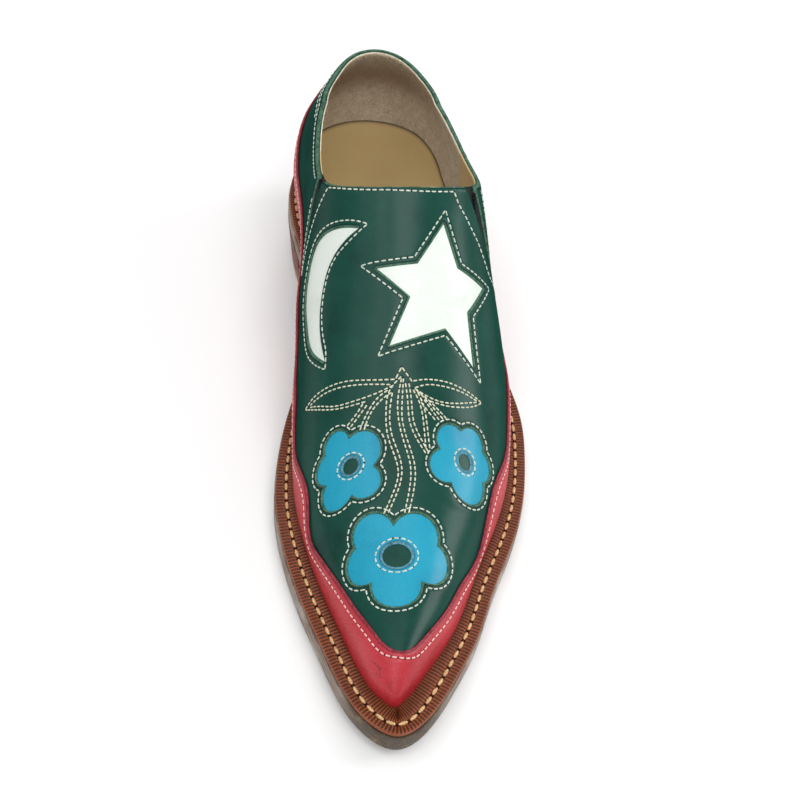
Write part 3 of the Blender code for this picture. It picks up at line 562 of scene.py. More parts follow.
def ring_chart():
    """Sections all round the shoe, with their lengths, collar heights and overlay heights."""
    stations = np.linspace(HEEL_STATION, TOE_STATION, int((TOE_STATION - HEEL_STATION) / RING_STEP) + 1)
    ups = np.arange(UP_COUNT) * UP_STEP
    chart = {"points": [], "total": [], "collar": [], "overlay": []}
    for spoke in ring_of_spokes(stations, RING_TOE_STEPS, RING_HEEL_STEPS):
        wall = section(spoke)
        total = arc_length(wall)[-1]
        side = "lateral" if spoke["direction"][0] > 0.0 else "medial"
        chart["points"].append(resample(wall, ups))
        chart["total"].append(total)
        chart["collar"].append(arc_length(trimmed(wall))[-1])
        chart["overlay"].append(min(float(OVERLAY[side](HALF_LENGTH - wall[0, 1])), total))
    chart = {name: np.array(values) for name, values in chart.items()}
    chart["stations"] = stations
    chart["medial_end"] = 2 * (len(stations) - 1) + RING_TOE_STEPS
    return chart


RING = ring_chart()
RING_SIZE = len(RING["total"])


def ring_wall(column, ups):
    """Points up one section of the ring."""
    rows = np.full(len(ups), column, dtype=float)
    return blend_grid(RING["points"], rows, np.asarray(ups) / UP_STEP)


def back_columns(station):
    """Columns of the ring round the heel, from a station on the inner side to the same on the outer side."""
    start = int(np.argmin(np.abs(RING["stations"] - station)))
    return list(range(RING["medial_end"] - start, RING_SIZE)) + list(range(start + 1))


def looped(rows):
    """Rows with the first of them again at their end."""
    return np.concatenate([rows, rows[:1]], axis=0)


# Mesh making
EQUAL_POINTS = 0.01


def deselect():
    """Leaves object mode with nothing selected."""
    if bpy.context.object and bpy.context.object.mode != "OBJECT":
        bpy.ops.object.mode_set(mode="OBJECT")
    bpy.ops.object.select_all(action="DESELECT")


def pick(piece):
    """Leaves one piece selected and active."""
    deselect()
    piece.select_set(True)
    bpy.context.view_layer.objects.active = piece


def to_metres(points):
    """Points of the shoe's own tables, in millimetres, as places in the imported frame."""
    return (np.asarray(points, dtype=float) - np.array(CENTRE)) * MM


def to_millimetres(points):
    """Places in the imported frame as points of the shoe's own tables."""
    return points / MM + np.array(CENTRE)


def read_points(piece, kind="co"):
    """Places or normals of a piece's points."""
    flat = np.zeros(len(piece.data.vertices) * 3)
    piece.data.vertices.foreach_get(kind, flat)
    return flat.reshape(-1, 3)


def merge_points(piece, distance=EQUAL_POINTS):
    """Merges points closer than a distance and turns the faces of a piece outwards."""
    pick(piece)
    bpy.ops.object.mode_set(mode="EDIT")
    bpy.ops.mesh.select_all(action="SELECT")
    bpy.ops.mesh.remove_doubles(threshold=distance * MM)
    bpy.ops.mesh.normals_make_consistent(inside=False)
    bpy.ops.object.mode_set(mode="OBJECT")


def formed_grid(name, points):
    """Grid primitive with its points moved to a table of columns and rows of places."""
    columns, rows = points.shape[:2]
    deselect()
    bpy.ops.mesh.primitive_grid_add(x_subdivisions=columns - 1, y_subdivisions=rows - 1, size=1.0)
    piece = bpy.context.object
    piece.name = name
    piece.data.name = name
    flat = read_points(piece)
    column = np.rint((flat[:, 0] + 0.5) * (columns - 1)).astype(int)
    row = np.rint((flat[:, 1] + 0.5) * (rows - 1)).astype(int)
    piece.data.vertices.foreach_set("co", to_metres(points[column, row]).ravel())
    piece.data.update()
    return piece


def mesh_piece(name, points, faces):
    """Piece from points and faces."""
    mesh = bpy.data.meshes.new(name)
    mesh.from_pydata(to_metres(points).tolist(), [], faces)
    piece = bpy.data.objects.new(name, mesh)
    bpy.context.scene.collection.objects.link(piece)
    return piece


def thicken(piece, thickness, offset):
    """Gives a sheet a thickness in millimetres."""
    pick(piece)
    wall = piece.modifiers.new("thickness", "SOLIDIFY")
    wall.thickness = thickness * MM
    wall.offset = offset
    bpy.ops.object.modifier_apply(modifier=wall.name)


def soften(piece, angle=None):
    """Shades a piece smooth, keeping edges sharper than an angle."""
    pick(piece)
    if angle is None:
        bpy.ops.object.shade_smooth()
    else:
        bpy.ops.object.shade_smooth_by_angle(angle=math.radians(angle))


def dress(piece, material, nodes=()):
    """Gives a piece its material and its body, and hides the solids that it stands for."""
    piece.data.materials.clear()
    piece.data.materials.append(material)
    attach(piece, "root")
    if nodes:
        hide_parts(*nodes)


def tint(piece, name, values):
    """Stores one value for each point of a piece, for its material."""
    stored = piece.data.attributes.new(name, "FLOAT", "POINT")
    stored.data.foreach_set("value", np.asarray(values, dtype=np.float32))


# Outlines of the ornament
OUTLINE_STEP = 0.6
EDGE_WIDTH = 1.1
EDGE_DEPTH = 0.85
# Distance of the stitched line from each cut, and the crescent's stitched tips
SETBACK = {"moon": 2.5, "star": 2.5, "big_flower": 2.1, "medial_flower": 2.0, "lateral_flower": 2.0}
MOON_TIPS = ((-11.6, 11.6), (-30.4, 58.3))
TIP_BLEND = 7
STRAIGHT_NUDGE = 0.2
STRAIGHT_ROUNDS = 4
OFFSET_TAIL = 9.0
OVAL_POINTS = 12
SHORTEST_SQUARE = 1e-12
MITRE_LIMIT = 0.12
FOLD_SHARE = 0.97
EQUAL_PLACES = 1e-5


def through(points, step):
    """Points about a step apart on a smooth line through given points."""
    points = np.array(points, dtype=float)
    if len(points) == 2:
        count = max(2, int(np.linalg.norm(points[1] - points[0]) / step) + 1)
        return points[0] + np.linspace(0.0, 1.0, count)[:, None] * (points[1] - points[0])
    knots = arc_length(points)
    count = max(3, int(knots[-1] / step) + 1)
    places = np.linspace(0.0, knots[-1], count)
    return np.column_stack([spline(knots, points[:, axis])(places) for axis in range(2)])


def arc_through(start, middle, end, step):
    """Points of the circle arc through three points, without the last of them."""
    matrix = 2.0 * np.array([middle - start, end - start])
    right = np.array([middle @ middle - start @ start, end @ end - start @ start])
    centre = np.linalg.solve(matrix, right)
    radius = np.linalg.norm(start - centre)
    angles = [math.atan2(*(point - centre)[::-1]) for point in (start, middle, end)]
    full = 2.0 * math.pi
    swing = (angles[2] - angles[0]) % full
    if (angles[1] - angles[0]) % full > swing:
        swing -= full
    count = max(3, int(abs(swing) * radius / step))
    turns = angles[0] + swing * np.arange(count) / count
    return centre + radius * np.column_stack([np.cos(turns), np.sin(turns)])


def straightened(start, end, step):
    """Edge between two pattern places that lies straight when seen square to the leather."""
    line = through((start, end), step)
    for _ in range(STRAIGHT_ROUNDS):
        points, normals = pattern(line)
        square = unit(np.cross(normals.mean(axis=0), points[-1] - points[0]))
        stray = (points - points[0]) @ square
        over = (pattern(line + (STRAIGHT_NUDGE, 0.0))[0] - points) @ square / STRAIGHT_NUDGE
        along = (pattern(line + (0.0, STRAIGHT_NUDGE))[0] - points) @ square / STRAIGHT_NUDGE
        line = line - np.column_stack([over, along]) * (stray / (over ** 2 + along ** 2))[:, None]
    return line


def star_edges():
    """Star: a straight edge from each tip to each notch."""
    corners = [np.array(pair) for row in STAR_ROWS for pair in (row[:2], row[2:])]
    return [straightened(start, end, OUTLINE_STEP) for start, end in zip(corners, corners[1:] + corners[:1])]


def moon_edges():
    """Crescent: its outer arc and then its inner arc."""
    return [through(MOON_OUTER, OUTLINE_STEP), through(MOON_INNER, OUTLINE_STEP)]


def flower_edges(name):
    """Flower: a circle arc for each petal, from notch to notch over its tip."""
    centre, petals = FLOWERS[name]
    edges = []
    for place, petal in enumerate(petals):
        following = petals[(place + 1) % len(petals)]
        start, tip, end = np.array(petal[:2]), np.array(petal[2:]), np.array(following[:2])
        edges.append(np.vstack([arc_through(start, tip, end, OUTLINE_STEP), end]) + np.array(centre))
    return edges


def joined(edges):
    """Closed outline from edges that follow one another."""
    return np.vstack([edge[:-1] for edge in edges])


def crossing(first, second):
    """Where one line of points first meets another: places along both and the point, or nothing."""
    for place in range(len(first) - 1):
        start, run = first[place], first[place + 1] - first[place]
        others, runs = second[:-1], np.diff(second, axis=0)
        cross = run[0] * runs[:, 1] - run[1] * runs[:, 0]
        cross[np.abs(cross) < TINY] = TINY
        gap = others - start
        mine = (gap[:, 0] * runs[:, 1] - gap[:, 1] * runs[:, 0]) / cross
        theirs = (gap[:, 0] * run[1] - gap[:, 1] * run[0]) / cross
        met = np.nonzero((mine >= 0.0) & (mine <= 1.0) & (theirs >= 0.0) & (theirs <= 1.0))[0]
        if len(met):
            return place, int(met[-1]), start + mine[met[-1]] * run
    return None


def set_off(edges, distance, tips=()):
    """Edges a distance outside given edges, each ending where it meets its neighbours or at given tips."""
    whole = joined(edges)
    tail = np.arange(OFFSET_TAIL, 0.0, -OUTLINE_STEP)[:, None]
    turn = np.sum(whole[:, 0] * np.roll(whole[:, 1], -1) - np.roll(whole[:, 0], -1) * whole[:, 1])
    moved = []
    for edge in edges:
        run = unit(np.gradient(edge, axis=0))
        side = np.column_stack([run[:, 1], -run[:, 0]]) * np.sign(turn)
        line = edge + side * distance
        if tips:
            start, end = tips[len(moved)], tips[(len(moved) + 1) % len(tips)]
            knots = np.vstack([[start], line[TIP_BLEND:-TIP_BLEND:TIP_BLEND], [end]])
            moved.append(through(knots, OUTLINE_STEP))
        else:
            moved.append(np.vstack([line[0] - run[0] * tail, line, line[-1] + run[-1] * tail[::-1]]))
    if tips:
        return moved
    for place in range(len(moved)):
        following = (place + 1) % len(moved)
        half = len(moved[place]) // 2
        found = crossing(moved[place][half:], moved[following][:len(moved[following]) // 2 + 1])
        if found is None:
            moved[place], moved[following] = moved[place][:-len(tail)], moved[following][len(tail):]
            continue
        before, after, point = found
        moved[place] = np.vstack([moved[place][:half + before + 1], point])
        moved[following] = np.vstack([point, moved[following][after + 1:]])
    return moved


def oval(centre, halves):
    """Closed oval."""
    count = max(OVAL_POINTS, int(2.0 * math.pi * max(halves) / OUTLINE_STEP))
    turns = 2.0 * math.pi * np.arange(count) / count
    return np.array(centre) + np.column_stack([halves[0] * np.cos(turns), halves[1] * np.sin(turns)])


def heart(name, kind):
    """Hole or stitched ring at the middle of a flower."""
    shift, hole, ring = HEARTS[name]
    middle = np.array(FLOWERS[name][0]) + np.array(shift)
    return oval(middle, hole if kind == "hole" else ring)


CUT_EDGES = {"moon": moon_edges(), "star": star_edges()}
CUT_EDGES.update({name + "_flower": flower_edges(name) for name in FLOWERS})
CUTS = {name: joined(edges) for name, edges in CUT_EDGES.items()}


def is_inside(points, loop):
    """Which points lie inside a closed outline."""
    found = np.zeros(len(points), dtype=bool)
    for start, end in zip(loop, np.roll(loop, -1, axis=0)):
        spans = (start[1] > points[:, 1]) != (end[1] > points[:, 1])
        if start[1] != end[1]:
            cross = start[0] + (points[:, 1] - start[1]) / (end[1] - start[1]) * (end[0] - start[0])
            found ^= spans & (points[:, 0] < cross)
    return found


def nearest_on(points, line, closed=True):
    """Distance from each point to a line of points, and the nearest place on it."""
    ends = np.roll(line, -1, axis=0) if closed else line[1:]
    starts = line if closed else line[:-1]
    best = np.full(len(points), np.inf)
    place = np.zeros_like(points)
    for start, end in zip(starts, ends):
        run = end - start
        share = limited((points - start) @ run / max(run @ run, SHORTEST_SQUARE))
        foot = start + share[:, None] * run
        far = np.linalg.norm(points - foot, axis=1)
        closer = far < best
        best[closer] = far[closer]
        place[closer] = foot[closer]
    return best, place


def offset_line(loop, distance):
    """Closed outline moved outwards by a distance, with its folded-over points left out."""
    edge = unit(np.roll(loop, -1, axis=0) - loop)
    turn = np.sum(loop[:, 0] * np.roll(loop[:, 1], -1) - np.roll(loop[:, 0], -1) * loop[:, 1])
    after = np.column_stack([edge[:, 1], -edge[:, 0]]) * np.sign(turn)
    before = np.roll(after, 1, axis=0)
    spread = np.maximum(1.0 + np.sum(after * before, axis=1), MITRE_LIMIT)
    moved = loop + (after + before) / spread[:, None] * distance
    far, _ = nearest_on(moved, loop)
    return moved[far > abs(distance) * FOLD_SHARE]


def hex_points(low, high, step):
    """Points in staggered rows over a rectangle."""
    rise = step * math.sqrt(3.0) / 2.0
    rows = []
    for place, height in enumerate(np.arange(low[1], high[1], rise)):
        start = low[0] + (step / 2.0 if place % 2 else 0.0)
        across = np.arange(start, high[0], step)
        rows.append(np.column_stack([across, np.full(len(across), height)]))
    return np.vstack(rows)


def thinned(points, spacing):
    """Points with those left out that share a small square with an earlier one."""
    keys = np.round(points / spacing).astype(int)
    _, kept = np.unique(keys, axis=0, return_index=True)
    return points[np.sort(kept)]


def triangulated(loops, inner):
    """Triangles over the first loop without the others, through inner points too."""
    points = np.vstack(list(loops) + [inner])
    edges = []
    start = 0
    for loop in loops:
        count = len(loop)
        edges += [(start + place, start + (place + 1) % count) for place in range(count)]
        start += count
    flat = [Vector(point) for point in points.tolist()]
    corners, _, faces, _, _, _ = delaunay_2d_cdt(flat, edges, [], 0, EQUAL_PLACES)
    corners = np.array([tuple(corner) for corner in corners])
    faces = np.array(faces)
    middles = corners[faces].mean(axis=1)
    kept = is_inside(middles, loops[0])
    for hole in loops[1:]:
        kept &= ~is_inside(middles, hole)
    return corners, faces[kept]


# Shader nodes. Sockets of a colour mix: its share, its two colours and its result.
MIX_INPUTS = (0, 6, 7)
MIX_RESULT = 2


def feed(tree, socket, value):
    """Sets a socket to a value, or links another node's socket to it."""
    if isinstance(value, bpy.types.NodeSocket):
        tree.links.new(value, socket)
    else:
        socket.default_value = value


def feed_named(tree, made, named):
    """Feeds the inputs of a node by their names."""
    for name, value in named.items():
        feed(tree, made.inputs[name.replace("_", " ")], value)


def node(tree, kind, *inputs, setup=(), **named):
    """Adds a shader node, sets it up and feeds its inputs, in their order or by name."""
    made = tree.nodes.new(kind)
    for name, value in dict(setup).items():
        setattr(made, name, value)
    for place, value in enumerate(inputs):
        feed(tree, made.inputs[place], value)
    feed_named(tree, made, named)
    return made


def maths(tree, operation, first, second, clamp=False):
    """Result of a maths node."""
    setup = {"operation": operation, "use_clamp": clamp}
    return node(tree, "ShaderNodeMath", first, second, setup=setup).outputs[0]


def times(tree, first, second):
    """Product of two values."""
    return maths(tree, "MULTIPLY", first, second)


def plus(tree, first, second):
    """Sum of two values."""
    return maths(tree, "ADD", first, second)


def vector_maths(tree, operation, result, *inputs, **named):
    """One result of a vector maths node."""
    setup = {"operation": operation}
    return node(tree, "ShaderNodeVectorMath", *inputs, setup=setup, **named).outputs[result]


def mixed(tree, share, first, second):
    """Colour mixed from two others."""
    made = node(tree, "ShaderNodeMix", setup={"data_type": "RGBA"})
    for place, value in zip(MIX_INPUTS, (share, first, second)):
        feed(tree, made.inputs[place], value)
    return made.outputs[MIX_RESULT]


def ramp(tree, value, low, high, bottom=0.0, top=1.0):
    """Value spread smoothly from one range to another."""
    setup = {"interpolation_type": "SMOOTHSTEP"}
    return node(tree, "ShaderNodeMapRange", value, low, high, bottom, top, setup=setup).outputs[0]


def noise(tree, place, scale, detail=3.0, roughness=0.55):
    """Soft noise at a scale per metre."""
    made = node(tree, "ShaderNodeTexNoise", Vector=place, Scale=scale, Detail=detail, Roughness=roughness)
    return made.outputs["Fac"]


def colour(red, green, blue):
    """Linear colour from the 0 to 255 values of a screen, by the screen's standard curve."""
    linear = []
    for value in (red, green, blue):
        share = value / 255.0
        linear.append(share / 12.92 if share <= 0.04045 else ((share + 0.055) / 1.055) ** 2.4)
    return (*linear, 1.0)


def dimmed(tone, share):
    """A colour brought down to a share of itself."""
    return (*(share * value for value in tone[:3]), 1.0)


def group(name, inputs, outputs):
    """Empty shader group: a place and named values go in, named values come out."""
    made = bpy.data.node_groups.new(name, "ShaderNodeTree")
    made.interface.new_socket("Place", in_out="INPUT", socket_type="NodeSocketVector")
    for label in inputs:
        made.interface.new_socket(label, in_out="INPUT", socket_type="NodeSocketFloat")
    for label in outputs:
        made.interface.new_socket(label, in_out="OUTPUT", socket_type="NodeSocketFloat")
    return made, made.nodes.new("NodeGroupInput"), made.nodes.new("NodeGroupOutput")


PEBBLE_EDGE = 0.35
PEBBLE_HEIGHT = 0.45
PORE_SCALE = 0.5
PORE_HEIGHT = 0.8


def leather_grain_group():
    """Fine pebbled grain and soft mottling of smooth leather: a height and a mottle mask."""
    tree, entry, leave = group("leather grain", ("Grain Scale", "Mottle Scale"), ("Height", "Mottle"))
    place = entry.outputs["Place"]
    scale = entry.outputs["Grain Scale"]
    setup = {"feature": "DISTANCE_TO_EDGE"}
    cells = node(tree, "ShaderNodeTexVoronoi", Vector=place, Scale=scale, setup=setup)
    pebble = ramp(tree, cells.outputs["Distance"], 0.0, PEBBLE_EDGE)
    pores = noise(tree, place, times(tree, scale, PORE_SCALE), detail=4.0)
    height = plus(tree, times(tree, pebble, PEBBLE_HEIGHT), times(tree, pores, PORE_HEIGHT))
    mottle = noise(tree, place, entry.outputs["Mottle Scale"], detail=5.0, roughness=0.6)
    feed_named(tree, leave, {"Height": height, "Mottle": mottle})
    return tree


FIBRE_HEIGHT = 0.65
CLUMP_HEIGHT = 0.35
CLUMP_SCALE = 0.25
FIBRE_TONES = (0.35, 0.65)


def fuzz_group():
    """Loose fibres of a raw cut edge or suede: a height and a colour mask."""
    tree, entry, leave = group("leather fuzz", ("Fibre Scale",), ("Height", "Fibres"))
    place = entry.outputs["Place"]
    scale = entry.outputs["Fibre Scale"]
    fibres = noise(tree, place, scale, detail=6.0, roughness=0.7)
    clumps = noise(tree, place, times(tree, scale, CLUMP_SCALE))
    both = plus(tree, times(tree, fibres, FIBRE_HEIGHT), times(tree, clumps, CLUMP_HEIGHT))
    feed_named(tree, leave, {"Height": both, "Fibres": ramp(tree, both, *FIBRE_TONES)})
    return tree


GRAIN = leather_grain_group()
FUZZ = fuzz_group()


def place_group(tree, shared, **inputs):
    """Places a shared group in a material."""
    return node(tree, "ShaderNodeGroup", setup={"node_tree": shared}, **inputs).outputs


def start_material(name, **settings):
    """New material: its tree, its shader, its object coordinates. Settings go on the shader's own sockets."""
    made = bpy.data.materials.new(name)
    made.use_nodes = True
    tree = made.node_tree
    shader = tree.nodes["Principled BSDF"]
    feed_named(tree, shader, settings)
    place = tree.nodes.new("ShaderNodeTexCoord").outputs["Object"]
    return made, tree, shader, place


def attribute(tree, name):
    """Value stored on the points of a piece."""
    return node(tree, "ShaderNodeAttribute", setup={"attribute_name": name}).outputs["Fac"]


def finished(tree, shader, height, distance, **varying):
    """Links what varies to the shader, with a height as its bump; the distance is in millimetres."""
    bump = node(tree, "ShaderNodeBump", Height=height, Distance=distance * MM)
    feed_named(tree, shader, {"Normal": bump.outputs["Normal"], **varying})


# Smooth leather: ranges of its mottling, and of its edge from none inside the leather to one on the cut
DARK_MOTTLE = (0.3, 0.5)
LIGHT_MOTTLE = (0.5, 0.78, 0.0, 0.7)
# The dark line outside the raw band and the inner line on the cut are painted shade
PAINTED_SHADE_LINE = (0.12, 0.3, 0.0, 0.75)
RAW_BAND = (0.38, 0.56)
INNER_SHADE_LINE = (0.88, 0.98, 0.0, 0.7)
LINE_SHADE = 0.35
FIBRE_SHADE = 0.3
BAND_STRENGTH = 0.75
GLOSS_RANGE = (0.3, 0.9)
GLOSS_SPREAD = (0.08, 0.06)
RAW_ROUGHNESS = 0.45
POLISH = (0.35, 0.75, 0.32, 0.02)
GRAIN_RELIEF = 0.17
FIBRE_RELIEF = 0.5
# Scratches on the toe: two ends in plan, half width
SCRATCHES = (
    ((-0.0214, -0.1194), (-0.0189, -0.1232), 0.3),
    ((-0.0204, -0.1236), (-0.0184, -0.1256), 0.3),
    ((-0.0190, -0.1232), (-0.0188, -0.1250), 0.55),
)
SCRATCH_TONE = colour(96, 26, 38)
SCRATCH_CORE = 0.3
SCRATCH_BREAKS = (0.38, 0.62, 0.1, 0.8)
PLAN_ONLY = (1.0, 1.0, 0.0)


def scratch_mask(tree, place, start, end, width):
    """One on a scratch between two plan places in metres, none past its ragged half width in millimetres."""
    half = width * MM
    run = Vector((*end, 0.0)) - Vector((*start, 0.0))
    flat = vector_maths(tree, "MULTIPLY", "Vector", place, PLAN_ONLY)
    away = vector_maths(tree, "SUBTRACT", "Vector", flat, (*start, 0.0))
    ahead = vector_maths(tree, "DOT_PRODUCT", "Value", away, run)
    share = maths(tree, "MULTIPLY", ahead, 1.0 / run.length_squared, clamp=True)
    foot = vector_maths(tree, "SCALE", "Vector", run, Scale=share)
    gap = vector_maths(tree, "DISTANCE", "Value", away, foot)
    ragged = times(tree, noise(tree, place, scale=900.0, detail=4.0, roughness=0.7), 2.0 * half)
    mask = ramp(tree, maths(tree, "SUBTRACT", plus(tree, gap, ragged), half), half, SCRATCH_CORE * half)
    breaks = ramp(tree, noise(tree, place, scale=700.0, detail=5.0, roughness=0.7), *SCRATCH_BREAKS)
    return times(tree, mask, breaks)


def smooth_leather(name, main, dark, light, raw, gloss, sheen, band=None, scratches=()):
    """Coloured smooth leather with grain, mottling and a fuzzy raw edge between two thin lines of painted
    shade.

    Sheen is the shine of the leather's own face under its polish.
    A band is the colour beside a stitched edge.
    """
    made, tree, shader, place = start_material(name, Coat_Roughness=0.27, Specular_IOR_Level=sheen)
    grain = place_group(tree, GRAIN, Place=place, Grain_Scale=1300.0, Mottle_Scale=45.0)
    fuzz = place_group(tree, FUZZ, Place=place, Fibre_Scale=1700.0)
    base = mixed(tree, ramp(tree, grain["Mottle"], *DARK_MOTTLE), dark, main)
    base = mixed(tree, ramp(tree, grain["Mottle"], *LIGHT_MOTTLE), base, light)
    if band:
        base = mixed(tree, times(tree, attribute(tree, "band"), BAND_STRENGTH), base, band)
    for scratch in scratches:
        base = mixed(tree, scratch_mask(tree, place, *scratch), base, SCRATCH_TONE)
    edge = attribute(tree, "edge")
    # Painted shade: the leather darkened in thin lines beside the raw band and along the cut
    painted_shade = dimmed(main, LINE_SHADE)
    base = mixed(tree, ramp(tree, edge, *PAINTED_SHADE_LINE), base, painted_shade)
    cut = mixed(tree, fuzz["Fibres"], dimmed(raw, FIBRE_SHADE), raw)
    cut = mixed(tree, ramp(tree, edge, *INNER_SHADE_LINE), cut, painted_shade)
    share = ramp(tree, edge, *RAW_BAND)
    smooth = ramp(tree, grain["Height"], *GLOSS_RANGE, gloss + GLOSS_SPREAD[0], gloss - GLOSS_SPREAD[1])
    rough = maths(tree, "ADD", smooth, times(tree, share, RAW_ROUGHNESS), clamp=True)
    facing = node(tree, "ShaderNodeLayerWeight", Blend=0.5).outputs["Facing"]
    coat = times(tree, maths(tree, "SUBTRACT", 1.0, share), ramp(tree, facing, *POLISH))
    fibres = times(tree, times(tree, fuzz["Height"], share), FIBRE_RELIEF)
    relief = plus(tree, times(tree, grain["Height"], GRAIN_RELIEF), fibres)
    base = mixed(tree, share, base, cut)
    finished(tree, shader, relief, 1.0, Base_Color=base, Roughness=rough, Coat_Weight=coat)
    return made


GREEN = smooth_leather(
    "green leather", colour(21, 66, 56), colour(16, 55, 47), colour(27, 77, 65), colour(96, 136, 114),
    gloss=0.38, sheen=0.0)
RED = smooth_leather(
    "red leather", colour(180, 36, 48), colour(162, 23, 37), colour(190, 55, 65), colour(176, 62, 76),
    gloss=0.42, sheen=0.35, band=colour(172, 30, 50), scratches=SCRATCHES)
WHITE = smooth_leather(
    "white leather", colour(221, 228, 221), colour(210, 218, 211), colour(230, 235, 229),
    colour(194, 209, 199), gloss=0.42, sheen=0.1)
TURQUOISE = smooth_leather(
    "turquoise leather", colour(27, 147, 176), colour(22, 135, 167), colour(41, 157, 184),
    colour(108, 168, 188), gloss=0.38, sheen=0.1)

TWIST_TONES = (0.35, 0.6)
TWIST_RELIEF = 0.12


def thread_material(name, main, dark):
    """Twisted sewing thread."""
    made, tree, shader, place = start_material(name, Roughness=0.75, Specular_IOR_Level=0.3)
    twist = noise(tree, place, scale=2600.0, detail=2.0)
    base = mixed(tree, ramp(tree, twist, *TWIST_TONES), dark, main)
    finished(tree, shader, twist, TWIST_RELIEF, Base_Color=base)
    return made


CREAM_THREAD = thread_material("cream thread", colour(221, 229, 216), colour(160, 168, 152))
STRAW_THREAD = thread_material("straw thread", colour(224, 226, 204), colour(172, 172, 146))
PINK_THREAD = thread_material("pale pink thread", colour(240, 208, 200), colour(200, 140, 136))
TAN_THREAD = thread_material("waxed tan thread", colour(224, 190, 142), colour(166, 126, 84))


def hole_shade_material(name, deep, shallow):
    """Painted shade: the dark bottom of the holes between stitches."""
    made, tree, shader, place = start_material(name, Roughness=0.95, Specular_IOR_Level=0.05)
    feed_named(tree, shader, {"Base Color": mixed(tree, noise(tree, place, scale=900.0), deep, shallow)})
    return made


GREEN_HOLE_SHADE = hole_shade_material("painted shade in green needle holes", colour(12, 34, 29), colour(18, 46, 39))
RED_HOLE_SHADE = hole_shade_material("painted shade in red needle holes", colour(96, 14, 26), colour(120, 22, 34))
WELT_HOLE_SHADE = hole_shade_material("painted shade in welt awl holes", colour(34, 14, 7), colour(52, 24, 12))

WELT_BROWN = colour(110, 50, 21)
WELT_RUST = colour(162, 82, 37)
# Painted shade: the welt darkened in the gaps between its ribs and in its stitch channel
WELT_GAP_SHADE = colour(44, 19, 9)
GAP_SHADE_STRENGTH = 0.88
RIB_CROWN = (0.25, 0.95)
WELT_GLOSS = (0.2, 0.9, 0.62, 0.42)
WELT_RELIEF = 0.12


def welt_material():
    """Rust-brown welt leather, darkened between its ribs and in its channel as painted shade."""
    made, tree, shader, place = start_material("welt leather", Specular_IOR_Level=0.35)
    grain = place_group(tree, GRAIN, Place=place, Grain_Scale=900.0, Mottle_Scale=110.0)
    unshaded = mixed(tree, grain["Mottle"], WELT_BROWN, WELT_RUST)
    shaded = mixed(tree, GAP_SHADE_STRENGTH, unshaded, WELT_GAP_SHADE)
    base = mixed(tree, ramp(tree, attribute(tree, "crown"), *RIB_CROWN), shaded, unshaded)
    rough = ramp(tree, grain["Height"], *WELT_GLOSS)
    finished(tree, shader, grain["Height"], WELT_RELIEF, Base_Color=base, Roughness=rough)
    return made


# Sole edge: stretch of its level lines, and ranges of lines, grey film, worn toe and scuffs
LEVEL_STRETCH = (0.08, 0.08, 1.0)
LEVEL_TONES = (0.35, 0.62)
LEVEL_GLOSS = (0.2, 0.8, 0.42, 0.62)
FILM_RANGE = (0.4, 0.75, 0.0, 0.75)
WORN_TOE = (-0.118, -0.139)
SCUFF_RANGE = (0.45, 0.72)
SCUFF_DARK = colour(54, 43, 31)
SCUFF_PALE = colour(138, 114, 74)
WORN_STRENGTH = 0.85
TIP_ROUGHNESS = 4.0
SOLE_RELIEF = 0.14


def sole_edge_material(name, main, dark, film):
    """Leather edge with fine level lines, a grey film and worn patches at the toe."""
    made, tree, shader, place = start_material(name, Specular_IOR_Level=0.35)
    stretched = node(tree, "ShaderNodeMapping", Vector=place, Scale=LEVEL_STRETCH).outputs["Vector"]
    lines = noise(tree, stretched, scale=1500.0, detail=4.0, roughness=0.65)
    patches = noise(tree, place, scale=70.0, detail=5.0, roughness=0.6)
    base = mixed(tree, ramp(tree, lines, *LEVEL_TONES), main, dark)
    base = mixed(tree, ramp(tree, patches, *FILM_RANGE), base, film)
    toe = ramp(tree, node(tree, "ShaderNodeSeparateXYZ", Vector=place).outputs["Y"], *WORN_TOE)
    scuffs = ramp(tree, noise(tree, place, scale=260.0, detail=6.0, roughness=0.7), *SCUFF_RANGE)
    base = mixed(tree, times(tree, toe, WORN_STRENGTH), base, mixed(tree, scuffs, SCUFF_DARK, SCUFF_PALE))
    ragged = times(tree, times(tree, scuffs, toe), TIP_ROUGHNESS)
    rough = ramp(tree, lines, *LEVEL_GLOSS)
    finished(tree, shader, plus(tree, lines, ragged), SOLE_RELIEF, Base_Color=base, Roughness=rough)
    return made


LINING_TAN = (colour(198, 172, 124), colour(216, 192, 146))
SUEDE_TONES = (colour(178, 166, 146), colour(218, 206, 188))
FRAYED_TONES = (colour(204, 188, 158), colour(250, 240, 220))
WORN_SUEDE = colour(124, 100, 70)
SLIT_BLACK = colour(12, 13, 14)
GRIP_EDGE = (0.45, 0.55)
GRIP_WEAR = 0.8
LOOSE_FIBRES = 0.5
FRAY_RANGE = (0.5, 1.0)
LINING_GLOSS = (0.0, 1.0, 0.55, 0.95)
LINING_RELIEF = 0.08
SUEDE_RELIEF = 0.6


